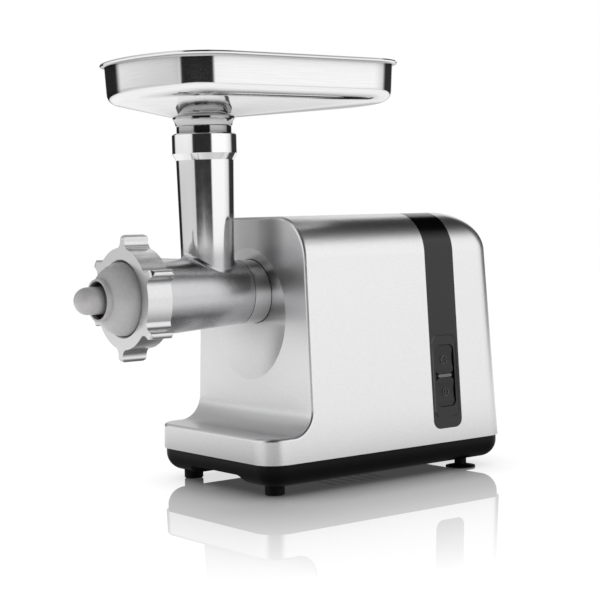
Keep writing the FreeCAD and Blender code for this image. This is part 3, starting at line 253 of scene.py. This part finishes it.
def acrylic_finish():
    material = bpy.data.materials.new("white_acrylic")
    material.use_nodes = True
    tree = material.node_tree
    tree.nodes.remove(tree.nodes["Principled BSDF"])
    # painted contact shadow: the glow that the camera sees dims where the grinder crowds the table
    openness = add(tree, "ShaderNodeAmbientOcclusion", {"Distance": contact_reach}, samples=16)
    painted_contact_shadow = add(tree, "ShaderNodeMapRange", {
        "Value": openness.outputs["AO"],
        "From Min": contact_openness[0], "From Max": contact_openness[1],
        "To Min": contact_shadow_glow[0], "To Max": contact_shadow_glow[1],
    })
    glow = add(tree, "ShaderNodeEmission", {"Color": (1, 1, 1, 1), "Strength": painted_contact_shadow.outputs[0]})
    gloss = add(tree, "ShaderNodeBsdfGlossy", {"Color": (1, 1, 1, 1), "Roughness": 0.0})
    place = add(tree, "ShaderNodeTexCoord")
    distance = distance_outside(tree, place.outputs["Object"], footprint_middle, footprint_half)
    mirror = add(tree, "ShaderNodeMapRange", {
        "Value": distance, "From Max": mirror_reach, "To Min": mirror_share, "To Max": 0.0,
    })
    seen = add(tree, "ShaderNodeMixShader", {
        0: mirror.outputs[0], 1: glow.outputs[0], 2: gloss.outputs[0],
    })
    # painted shade for every other ray: the paper glows dim near the footprint and at the far edge
    along = add(tree, "ShaderNodeMapRange", {"Value": distance, "From Max": floor_reach})
    level = add(tree, "ShaderNodeValToRGB", {"Fac": along.outputs[0]}, floor_shade_levels)
    paper = add(tree, "ShaderNodeEmission", {"Color": level.outputs[0], "Strength": 1.0})
    ray = add(tree, "ShaderNodeLightPath")
    both = add(tree, "ShaderNodeMixShader", {
        0: ray.outputs["Is Camera Ray"], 1: paper.outputs[0], 2: seen.outputs[0],
    })
    tree.links.new(both.outputs[0], tree.nodes["Material Output"].inputs["Surface"])
    return material


acrylic = acrylic_finish()
print("table finish:", acrylic.name, "with", len(acrylic.node_tree.nodes), "nodes")

# %% [markdown]
# ## The table
# One plane is enough for the table, and it is stage, so it isn't part of the grinder. It lies a
# little below the feet, so that their flat undersides don't flicker through it. Its far edge
# doesn't show, because beyond it the camera sees the same plain white.

# %% Table
table_size = 6.0
table_z = -0.0004

bpy.ops.mesh.primitive_plane_add(size=table_size, location=(0, 0, table_z))
table = bpy.context.object
table.name = "table"
table.data.materials.append(acrylic)
print("table:", table.name, "of", table_size, "m")

# %% [markdown]
# ## A finish that wanders
# No real surface has one colour and one gloss all over. Each finish below moves a little
# between two colours and two roughnesses, along a noise whose size is given in millimetres.
# Drawn out along an axis, the same noise becomes brushing or the sheets of a stack. Flake,
# grain and tool marks are too fine to show in the render, so they are drawn coarser than real,
# about a millimetre wide or a little less. The noise is built on a grid, and a flat face that
# runs along that grid shows it as swirls, so the grid is turned away from every axis.

# %% The wandering finish
millimetres_per_metre = 1000.0
grid_turn = (0.55, 0.75, 0.35)
noise_low = 0.3
noise_high = 0.7
even = (1, 1, 1)


def pattern(tree, size, stretch=even):
    """Noise with features this many millimetres wide, drawn out along the stretched axes."""
    place = add(tree, "ShaderNodeTexCoord")
    drawn = add(tree, "ShaderNodeMapping", {
        "Vector": place.outputs["Object"], "Rotation": grid_turn,
        "Scale": [millimetres_per_metre / (size * share) for share in stretch],
    })
    noise = add(tree, "ShaderNodeTexNoise", {
        "Vector": drawn.outputs[0], "Scale": 1.0, "Detail": 4.0,
    })
    return noise.outputs["Fac"]


def wandering(name, colours, size, stretch=even, rough=(0.3, 0.4), bump=0.0, **settings):
    """A finish between two colours and two roughnesses, with a bump given in millimetres."""
    material = bpy.data.materials.new(name)
    material.use_nodes = True
    tree = material.node_tree
    shader = tree.nodes["Principled BSDF"]
    shader.inputs["Base Color"].default_value = linear(colours[0])
    for key, value in settings.items():
        shader.inputs[key.replace("_", " ")].default_value = value
    noise = pattern(tree, size, stretch)
    share = add(tree, "ShaderNodeMapRange", {
        "Value": noise, "From Min": noise_low, "From Max": noise_high,
    })
    blend = add(tree, "ShaderNodeMix", {
        0: share.outputs[0], 6: linear(colours[0]), 7: linear(colours[1]),
    }, data_type="RGBA")
    tree.links.new(blend.outputs[2], shader.inputs["Base Color"])
    gloss = add(tree, "ShaderNodeMapRange", {
        "Value": noise, "From Min": noise_low, "From Max": noise_high,
        "To Min": rough[0], "To Max": rough[1],
    })
    tree.links.new(gloss.outputs[0], shader.inputs["Roughness"])
    if bump:
        relief = add(tree, "ShaderNodeBump", {
            "Height": noise, "Strength": 1.0, "Distance": bump / millimetres_per_metre,
        })
        tree.links.new(relief.outputs[0], shader.inputs["Normal"])
    return material


print("noise turned by", grid_turn, "and used from", noise_low, "to", noise_high)

# %% [markdown]
# ## Shade in hollows
# Bright metal looks dull in a hollow, as in the cove over the toe or under the tray, because
# nearby surfaces hide the lights from it. A node that feels how crowded a point is multiplies
# the colour there, and this sets the depth of that painted shade.

# %% Shade in hollows
def with_painted_shade(material, reach, deepest, crowded=0.35, open_air=0.95):
    """Paints shade into a finish's colour where other surfaces within reach crowd it."""
    tree = material.node_tree
    base_colour = tree.nodes["Principled BSDF"].inputs["Base Color"]
    crowding = add(tree, "ShaderNodeAmbientOcclusion", {"Distance": reach}, samples=8)
    shade = add(tree, "ShaderNodeMapRange", {
        "Value": crowding.outputs["AO"],
        "From Min": crowded, "From Max": open_air, "To Min": deepest, "To Max": 1.0,
    })
    painted_shade = add(tree, "ShaderNodeMix", {
        0: 1.0, 6: base_colour.links[0].from_socket, 7: shade.outputs[0],
    }, data_type="RGBA", blend_type="MULTIPLY")
    tree.links.new(painted_shade.outputs[2], base_colour)
    return material


print("shade for hollows ready")

# %% [markdown]
# ## The head's metal
# The head is one aluminium casting: its throat is polished bright and its barrel only tumbled.
# One material can hold both, because roughness and colour may follow the height.

# %% Metal of the head
polish_from_z = 0.176
polish_to_z = 0.190
polished_share = 0.38
tumbled_size = 5.0
tumbled_rough = (0.24, 0.28)
polished_colour = "#F4F4F4"


def head_finish():
    material = wandering("polished_cast_aluminium", ("#CCCCCE", "#C8C8CA"), size=0.9,
                         stretch=(1, 1, 30), bump=0.0001, Metallic=1.0)
    tree = material.node_tree
    shader = tree.nodes["Principled BSDF"]
    place = add(tree, "ShaderNodeTexCoord")
    parts = add(tree, "ShaderNodeSeparateXYZ", {0: place.outputs["Object"]})
    tumbled = add(tree, "ShaderNodeMapRange", {
        "Value": pattern(tree, tumbled_size), "From Min": noise_low, "From Max": noise_high,
        "To Min": tumbled_rough[0], "To Max": tumbled_rough[1],
    })
    polish = add(tree, "ShaderNodeMapRange", {
        "Value": parts.outputs["Z"], "From Min": polish_from_z, "From Max": polish_to_z,
    }, interpolation_type="SMOOTHSTEP")
    gloss = add(tree, "ShaderNodeMapRange", {
        "Value": polish.outputs[0], "To Min": 1.0, "To Max": polished_share,
    })
    rough = add(tree, "ShaderNodeMath", {0: tumbled.outputs[0], 1: gloss.outputs[0]},
                operation="MULTIPLY")
    tree.links.new(rough.outputs[0], shader.inputs["Roughness"])
    bright = add(tree, "ShaderNodeMix", {
        0: polish.outputs[0], 6: shader.inputs["Base Color"].links[0].from_socket,
        7: linear(polished_colour),
    }, data_type="RGBA")
    tree.links.new(bright.outputs[2], shader.inputs["Base Color"])
    return material


# cast aluminium: a grey, softly blurred barrel below a bright throat
finishes = {"cast_aluminium": head_finish()}
print("head:", finishes["cast_aluminium"].name)

# %% [markdown]
# ## Metals
# The body is plastic under a silver paint with fine metal flake, so it takes a metallic shader
# with a soft gloss. The tray is drawn from bright stainless sheet and keeps the long marks of
# the polishing belt. The rest are the metals of the works inside, each with its own marks.

# %% Metals
finishes.update({
    # silver paint: a pale satin metal with painted shade in its hollows, its flake drawn coarser than
    # real
    "silver_paint": with_painted_shade(
        wandering("silver_metallic_paint", ("#F0F0F1", "#E7E7E8"), size=0.9, rough=(0.28, 0.32),
                  bump=0.0006, Metallic=0.94),
        reach=0.06, deepest=0.40),
    # turned aluminium: soft, even shine with fine marks along the axis
    "turned_aluminium": wandering(
        "turned_aluminium", ("#E2E2E3", "#DCDCDD"), size=0.5, stretch=(6, 1, 1),
        rough=(0.22, 0.26), bump=0.0003, Metallic=1.0),
    # stainless sheet: mirror bright, with belt marks round its wall, and painted shade where it crowds
    # itself
    "stainless": with_painted_shade(
        wandering("polished_stainless_steel", ("#F4F4F4", "#ECECEC"), size=0.4,
                  stretch=(60, 60, 1), rough=(0.06, 0.10), bump=0.0006, Metallic=1.0),
        reach=0.10, deepest=0.28, crowded=0.55, open_air=1.0),
    # turned steel: darker and sharper than aluminium
    "steel": wandering(
        "turned_steel", ("#BDBDBF", "#A9A9AC"), size=0.6, stretch=(8, 1, 1), rough=(0.22, 0.34),
        bump=0.004, Metallic=1.0),
    # sand-cast aluminium: dull and grainy
    "feed_aluminium": wandering(
        "cast_aluminium", ("#C6C6C8", "#B0B0B3"), size=1.4, rough=(0.36, 0.5), bump=0.03,
        Metallic=1.0),
    # bronze: warm yellow brown, oily
    "bronze": wandering(
        "sintered_bronze", ("#B88A52", "#A0743F"), size=0.7, rough=(0.3, 0.42), bump=0.01,
        Metallic=1.0),
    # core steel: dark stacked sheet, so the noise is drawn out across the stack
    "lamination": wandering(
        "core_steel", ("#66666A", "#4C4C50"), size=0.5, stretch=(1, 30, 30), rough=(0.4, 0.55),
        bump=0.02, Metallic=1.0),
    # copper wire: red brown under clear enamel, wound round the core
    "copper": wandering(
        "enamelled_copper", ("#B0602F", "#8E4722"), size=0.6, stretch=(12, 1, 1),
        rough=(0.25, 0.4), bump=0.05, Metallic=1.0),
})
print("metals:", len(finishes))

# %% [markdown]
# ## The band's plastic
# The band is moulded in glossy black plastic. A shallow finger recess round the keys is too
# slight for a solid: a rounded box, drawn by distance on the side of the keys, drives a bump.

# %% Plastic of the band
# the recess in x and z, the distances over which its edge rounds, and its depth
recess_middle = (0.1125, 0.0773, 0.0)
recess_half = (0.0065, 0.0265, 0.0)
recess_edge_from = 0.0052
recess_edge_to = 0.0066
recess_depth = 0.0005
key_side_blend = 0.001


def band_finish():
    material = wandering("gloss_black_abs", ("#0C0C0D", "#111112"), size=3.0, rough=(0.08, 0.12))
    tree = material.node_tree
    place = add(tree, "ShaderNodeTexCoord")
    parts = add(tree, "ShaderNodeSeparateXYZ", {0: place.outputs["Object"]})
    flat = add(tree, "ShaderNodeCombineXYZ", {0: parts.outputs["X"], 1: parts.outputs["Z"]})
    recess = add(tree, "ShaderNodeMapRange", {
        "Value": distance_outside(tree, flat.outputs[0], recess_middle, recess_half),
        "From Min": recess_edge_from, "From Max": recess_edge_to,
    }, interpolation_type="SMOOTHSTEP")
    key_side = add(tree, "ShaderNodeMapRange", {
        "Value": parts.outputs["Y"],
        "From Min": -key_side_blend, "From Max": key_side_blend, "To Min": 1, "To Max": 0,
    })
    height = add(tree, "ShaderNodeMath", {0: recess.outputs[0], 1: key_side.outputs[0]},
                 operation="MULTIPLY")
    relief = add(tree, "ShaderNodeBump", {
        "Height": height.outputs[0], "Strength": 1.0, "Distance": recess_depth,
    })
    tree.links.new(relief.outputs[0], tree.nodes["Principled BSDF"].inputs["Normal"])
    return material


# gloss black: deep and mirror-like, so that its edges catch the lights
finishes["black_gloss"] = band_finish()
print("band:", finishes["black_gloss"].name)

# %% [markdown]
# ## Plastics, rubber and the rest
# The base is satin black from a fine-textured mould, and the keys lie between it and the band.
# The kibbe parts are pale acetal, which lets a little light in below its skin, so a small
# subsurface share keeps their shadows soft. Then every solid takes the finish of its slot.

# %% Plastics and rubber
finishes.update({
    # satin black: moulded with a fine spark-eroded grain
    "black_satin": wandering(
        "satin_black_abs", ("#0B0B0C", "#111112"), size=0.35, rough=(0.34, 0.44), bump=0.004,
        Specular_IOR_Level=0.16),
    # key plastic: a shade lighter than the band and less glossy
    "button_black": wandering(
        "button_black_abs", ("#141415", "#1A1A1B"), size=0.5, rough=(0.22, 0.30), bump=0.001,
        Specular_IOR_Level=0.42),
    # grey plastic: smooth and even, for the bar and the signs among the black parts
    "grey_plastic": wandering("grey_abs", ("#77777A", "#838386"), size=0.6, rough=(0.2, 0.3)),
    # rubber: dull, with dusty patches
    "rubber": wandering(
        "black_rubber", ("#090909", "#101010"), size=1.2, rough=(0.5, 0.7), bump=0.01,
        Specular_IOR_Level=0.2),
    # acetal: pale, waxy and a little see-through at the skin, with painted shade in its hollows
    "pale_plastic": with_painted_shade(
        wandering("pale_acetal", ("#D8D6D7", "#D0CECF"), size=4.0, rough=(0.22, 0.30),
                  Subsurface_Weight=0.2, Subsurface_Scale=0.003,
                  Subsurface_Radius=(1.0, 0.95, 0.95)),
        reach=0.03, deepest=0.45),
    # nylon: undyed, cream and waxy
    "bush_plastic": wandering("natural_nylon", ("#DFDBCF", "#D2CDBE"), size=3.0, rough=(0.38, 0.5)),
    # carbon: near black, pressed from powder, so matt and grainy
    "carbon": wandering(
        "pressed_carbon", ("#1C1C1D", "#2A2A2B"), size=0.4, rough=(0.5, 0.65), bump=0.02),
    # circuit board: green solder mask over a woven cloth
    "board_green": wandering(
        "circuit_board", ("#1B5535", "#24663F"), size=0.8, rough=(0.3, 0.42), bump=0.01),
})
slot_of = {part["node"]: part["material_slot"] for part in frame["record"]["subparts"]}
for name, node in nodes.items():
    node.data.materials.clear()
    node.data.materials.append(finishes[slot_of[name]])
print("finishes:", len(finishes), "on", len(nodes), "solids")

# %% [markdown]
# ## The tray's outline
# The real tray is pressed from one sheet: a rolled rim, a steep wall, a round bend and a floor
# that falls to the neck. Its ends are bowed, so its outline is drawn as a path. A small plane,
# merged to one point, is the pen: two spins of it make the arcs of a quarter, a few extrusions
# make the straight run, and a mirror in both directions makes the other three quarters.

# %% Outline of the tray
tray_middle = -0.0155
tray_long = 0.230
tray_wide = 0.148
end_radius = 0.128
corner_radius = 0.042
rim_z = 0.3246
arc_steps = 10
straight_steps = 6
merge_distance = 0.00001


def draw_outline():
    """A closed path round the rim, in the mesh of a new object."""
    bpy.ops.object.select_all(action="DESELECT")
    bpy.ops.mesh.primitive_plane_add(size=0.001, location=(tray_middle, 0, 0))
    bpy.ops.object.mode_set(mode="EDIT")
    bpy.ops.mesh.select_all(action="SELECT")
    bpy.ops.mesh.merge(type="CENTER")
    bpy.ops.transform.translate(value=(-tray_long / 2, 0, rim_z))
    end_at = tray_middle - tray_long / 2 + end_radius
    reach = end_radius - corner_radius
    sweep = math.asin((tray_wide / 2 - corner_radius) / reach)
    corner_at = (end_at - reach * math.cos(sweep), -reach * math.sin(sweep), rim_z)
    bpy.ops.mesh.spin(steps=arc_steps, angle=-sweep, center=(end_at, 0, rim_z), axis=(0, 0, 1))
    bpy.ops.mesh.spin(steps=arc_steps, angle=sweep - math.pi / 2, center=corner_at, axis=(0, 0, 1))
    step = (tray_middle - corner_at[0]) / straight_steps
    for _ in range(straight_steps):
        bpy.ops.mesh.extrude_region_move(TRANSFORM_OT_translate={"value": (step, 0, 0)})
    bpy.ops.object.mode_set(mode="OBJECT")
    piece = bpy.context.object
    mirror = piece.modifiers.new("quarters", "MIRROR")
    mirror.use_axis = (True, True, False)
    mirror.merge_threshold = merge_distance
    bpy.ops.object.modifier_apply(modifier="quarters")
    bpy.ops.object.transform_apply(location=True)
    return piece


print("outline:", tray_long, "by", tray_wide, "m, rim at", rim_z)

# %% [markdown]
# ## Rings of the sheet
# Every further ring of the sheet is that path again, extruded down and drawn in. The neck's
# rings are round, so they are made narrower about the middle of the throat instead. A ring is
# picked by its height, at a moment when no other ring has it.

# %% Rings of the sheet
throat_at = (-0.0601, 0.0)


def pick(test):
    """Selects, in edit mode, the points that pass a test on their place."""
    bpy.ops.mesh.select_mode(type="VERT")
    bpy.ops.mesh.select_all(action="DESELECT")
    bpy.ops.object.mode_set(mode="OBJECT")
    for point in bpy.context.object.data.vertices:
        point.select = test(point.co)
    bpy.ops.object.mode_set(mode="EDIT")


def draw_in(before, after, drop):
    """Extrudes the picked ring down and draws it in from one inset to the next."""
    bpy.ops.mesh.extrude_region_move(TRANSFORM_OT_translate={"value": (0, 0, -drop)})
    long_share = (tray_long / 2 - after) / (tray_long / 2 - before)
    wide_share = (tray_wide / 2 - after) / (tray_wide / 2 - before)
    bpy.ops.transform.resize(value=(long_share, wide_share, 1), center_override=(tray_middle, 0, 0))


def narrow(before, after, drop):
    """Extrudes the picked round ring down and changes its radius."""
    bpy.ops.mesh.extrude_region_move(TRANSFORM_OT_translate={"value": (0, 0, -drop)})
    share = after / before
    bpy.ops.transform.resize(value=(share, share, 1), center_override=(*throat_at, 0))


print("neck at", throat_at)

# %% [markdown]
# ## One side of the sheet
# A side runs from the rim down the wall, round the bend and over the floor to the foot of the
# neck. Two extra rings near the ends of the wall keep its shading straight. The floor is a
# bridge between the last oval ring and the first round one, so both need as many points.

# %% One side of the sheet
wall_step = 0.0006
wall_lean = 0.001
wall_support = 0.001
bend_angles = [math.radians(degrees) for degrees in (15, 30, 45, 60, 70, 78)]
floor_cuts = 7
same_height = 1e-6


def skin(rim, wall_inset, wall_low, bend, neck):
    """One side of the sheet, from the outline over the rim and down to the foot of the neck."""
    wall_top = rim[-1][1] - wall_step
    foot_inset = wall_inset + wall_lean
    rings = rim + [
        (wall_inset, wall_top), (wall_inset + 0.05 * wall_lean, wall_top - wall_support),
        (wall_inset + 0.95 * wall_lean, wall_low + wall_support), (foot_inset, wall_low),
    ]
    for angle in bend_angles:
        rings.append((foot_inset + bend * (1 - math.cos(angle)), wall_low - bend * math.sin(angle)))
    inset, z = 0.0, rim_z
    for next_inset, next_z in rings:
        draw_in(inset, next_inset, z - next_z)
        inset, z = next_inset, next_z
    bpy.ops.object.mode_set(mode="OBJECT")
    ring_count = sum(point.select for point in bpy.context.object.data.vertices)
    bpy.ops.object.mode_set(mode="EDIT")
    floor_z = z
    radius, neck_z = neck[0]
    bpy.ops.mesh.primitive_circle_add(vertices=ring_count, radius=radius, location=(*throat_at, neck_z))
    pick(lambda co: abs(co.z - floor_z) < same_height or abs(co.z - neck_z) < same_height)
    bpy.ops.mesh.select_mode(type="EDGE")
    bpy.ops.mesh.bridge_edge_loops(number_cuts=floor_cuts, interpolation="LINEAR")
    pick(lambda co: abs(co.z - neck_z) < same_height)
    z = neck_z
    for next_radius, next_z in neck[1:]:
        narrow(radius, next_radius, z - next_z)
        radius, z = next_radius, next_z


print("sheet: bend in", len(bend_angles), "steps, floor in", floor_cuts + 1)

# %% [markdown]
# ## The tray
# The same steps make the underside and, one sheet further in, the inside. Each starts on the
# outline at the middle of the rolled rim. At the foot of the spigot a bridge closes the sheet,
# so the tray is one closed skin, as a pressed sheet is.

# %% Draw the tray
roll = 0.0014
half_roll = roll * math.sqrt(0.5)
lip_inset = 0.0030
spigot_foot = 0.2450
foot_step = 0.0001
tray_crease = math.radians(32)
# inset and height of the rim's rings
rim_under = [(roll - half_roll, rim_z - half_roll), (roll, rim_z - roll), (lip_inset, rim_z - roll)]
rim_over = [
    (roll - half_roll, rim_z + half_roll), (roll, rim_z + roll),
    (roll + half_roll, rim_z + half_roll), (2 * roll, rim_z),
]
# radius and height of the neck's rings
neck_outside = [
    (0.0235, 0.2835), (0.0235, 0.2819), (0.0222, 0.2803), (0.0215, 0.2770), (0.0209, 0.2764),
    (0.0209, 0.2713), (0.0172, 0.2713), (0.0172, spigot_foot),
]
neck_inside = [(0.0224, 0.2847), (0.0160, 0.2780), (0.0160, spigot_foot + foot_step)]


def draw_tray():
    piece = draw_outline()
    piece.name = "pressed_tray"
    bpy.ops.object.mode_set(mode="EDIT")
    bpy.ops.mesh.select_all(action="SELECT")
    skin(rim_under, wall_inset=0.0032, wall_low=0.3030, bend=0.009, neck=neck_outside)
    pick(lambda co: abs(co.z - rim_z) < same_height)
    skin(rim_over, wall_inset=0.0042, wall_low=0.3036, bend=0.008, neck=neck_inside)
    pick(lambda co: co.z < spigot_foot + 2 * foot_step)
    bpy.ops.mesh.select_mode(type="EDGE")
    bpy.ops.mesh.bridge_edge_loops()
    bpy.ops.mesh.select_all(action="SELECT")
    bpy.ops.mesh.normals_make_consistent(inside=False)
    bpy.ops.object.mode_set(mode="OBJECT")
    bpy.ops.object.shade_smooth_by_angle(angle=tray_crease)
    piece.data.materials.append(finishes["stainless"])
    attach(piece, "tray")
    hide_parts("hopper_tray")
    return piece


tray = draw_tray()
print("tray:", len(tray.data.polygons), "faces, box", [round(v, 4) for v in tray.dimensions])

# %% [markdown]
# ## Beads for the signs
# Two signs are moulded on the keys and hardly stand out. Each is a thin bead: a small circle
# spun round the sign's middle. It is drawn flat, and at the end it is laid on its key, which
# leans as the side of the body does.

# %% Beads for the signs
key_tilt = math.radians(87.0)
sign_radius = 0.0030
sign_crease = math.radians(40)
bead_radius = 0.00022
bead_sides = 8
bead_steps = 28


def spun_bead(start, sweep):
    """Part of a ring in the plane z = 0, in degrees, in a new object that stays in edit mode."""
    bpy.ops.object.select_all(action="DESELECT")
    begin = math.radians(start)
    bpy.ops.mesh.primitive_circle_add(
        vertices=bead_sides, radius=bead_radius, fill_type="NGON",
        location=(sign_radius * math.cos(begin), sign_radius * math.sin(begin), 0),
        rotation=(math.pi / 2, 0, begin))
    bpy.ops.object.transform_apply(location=True, rotation=True)
    bpy.ops.object.mode_set(mode="EDIT")
    bpy.ops.mesh.select_all(action="SELECT")
    turn = math.radians(-sweep)
    bpy.ops.mesh.spin(steps=bead_steps, angle=turn, center=(0, 0, 0), axis=(0, 0, 1))


def lay_on_key(name, place, body):
    """Ends a sign: its normals, its place on the key, its finish and the body that it rides on."""
    bpy.ops.mesh.select_all(action="SELECT")
    bpy.ops.mesh.normals_make_consistent(inside=False)
    bpy.ops.object.mode_set(mode="OBJECT")
    piece = bpy.context.object
    piece.name = name
    piece.matrix_world = Matrix.Translation(place) @ Matrix.Rotation(key_tilt, 4, "X")
    bpy.ops.object.transform_apply(location=True, rotation=True)
    bpy.ops.object.shade_smooth_by_angle(angle=sign_crease)
    piece.data.materials.append(finishes["grey_plastic"])
    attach(piece, body)
    print("sign:", piece.name, len(piece.data.polygons), "faces")


print("bead:", round(2 * bead_radius * millimetres_per_metre, 2), "mm thick")

# %% [markdown]
# ## Sign for reverse
# The sign for reverse is an arrow that turns back: most of a ring, with a cone at its start.

# %% Sign for reverse
reverse_face = (0.1125, -0.07366, 0.0902)
arrow_at = 60
arrow_sweep = 285
arrow_radius = 0.0008
arrow_length = 0.0016
arrow_sides = 12

spun_bead(arrow_at, arrow_sweep)
arrow_turn = math.radians(arrow_at)
bpy.ops.mesh.primitive_cone_add(
    vertices=arrow_sides, radius1=arrow_radius, radius2=0, depth=arrow_length,
    location=(sign_radius * math.cos(arrow_turn), sign_radius * math.sin(arrow_turn), 0),
    rotation=(math.pi / 2, 0, arrow_turn + math.pi))
lay_on_key("reverse_sign", reverse_face, "reverse_key")

# %% [markdown]
# ## Sign for on and off
# The sign for on and off is a whole ring with a bar. A full spin leaves a disc inside the bead
# at every step, and those discs are found as interior faces and taken out.

# %% Sign for on and off
power_face = (0.1125, -0.07500, 0.0645)
bar_length = 0.0030

spun_bead(0, 360)
bpy.ops.mesh.remove_doubles(threshold=merge_distance)
bpy.ops.mesh.select_all(action="DESELECT")
bpy.ops.mesh.select_mode(type="FACE")
bpy.ops.mesh.select_interior_faces()
bpy.ops.mesh.delete(type="ONLY_FACE")
bpy.ops.mesh.select_mode(type="VERT")
bpy.ops.mesh.primitive_cylinder_add(
    vertices=bead_sides, radius=bead_radius, depth=bar_length, location=(0, 0, 0),
    rotation=(math.pi / 2, 0, 0))
lay_on_key("power_sign", power_face, "power_key")
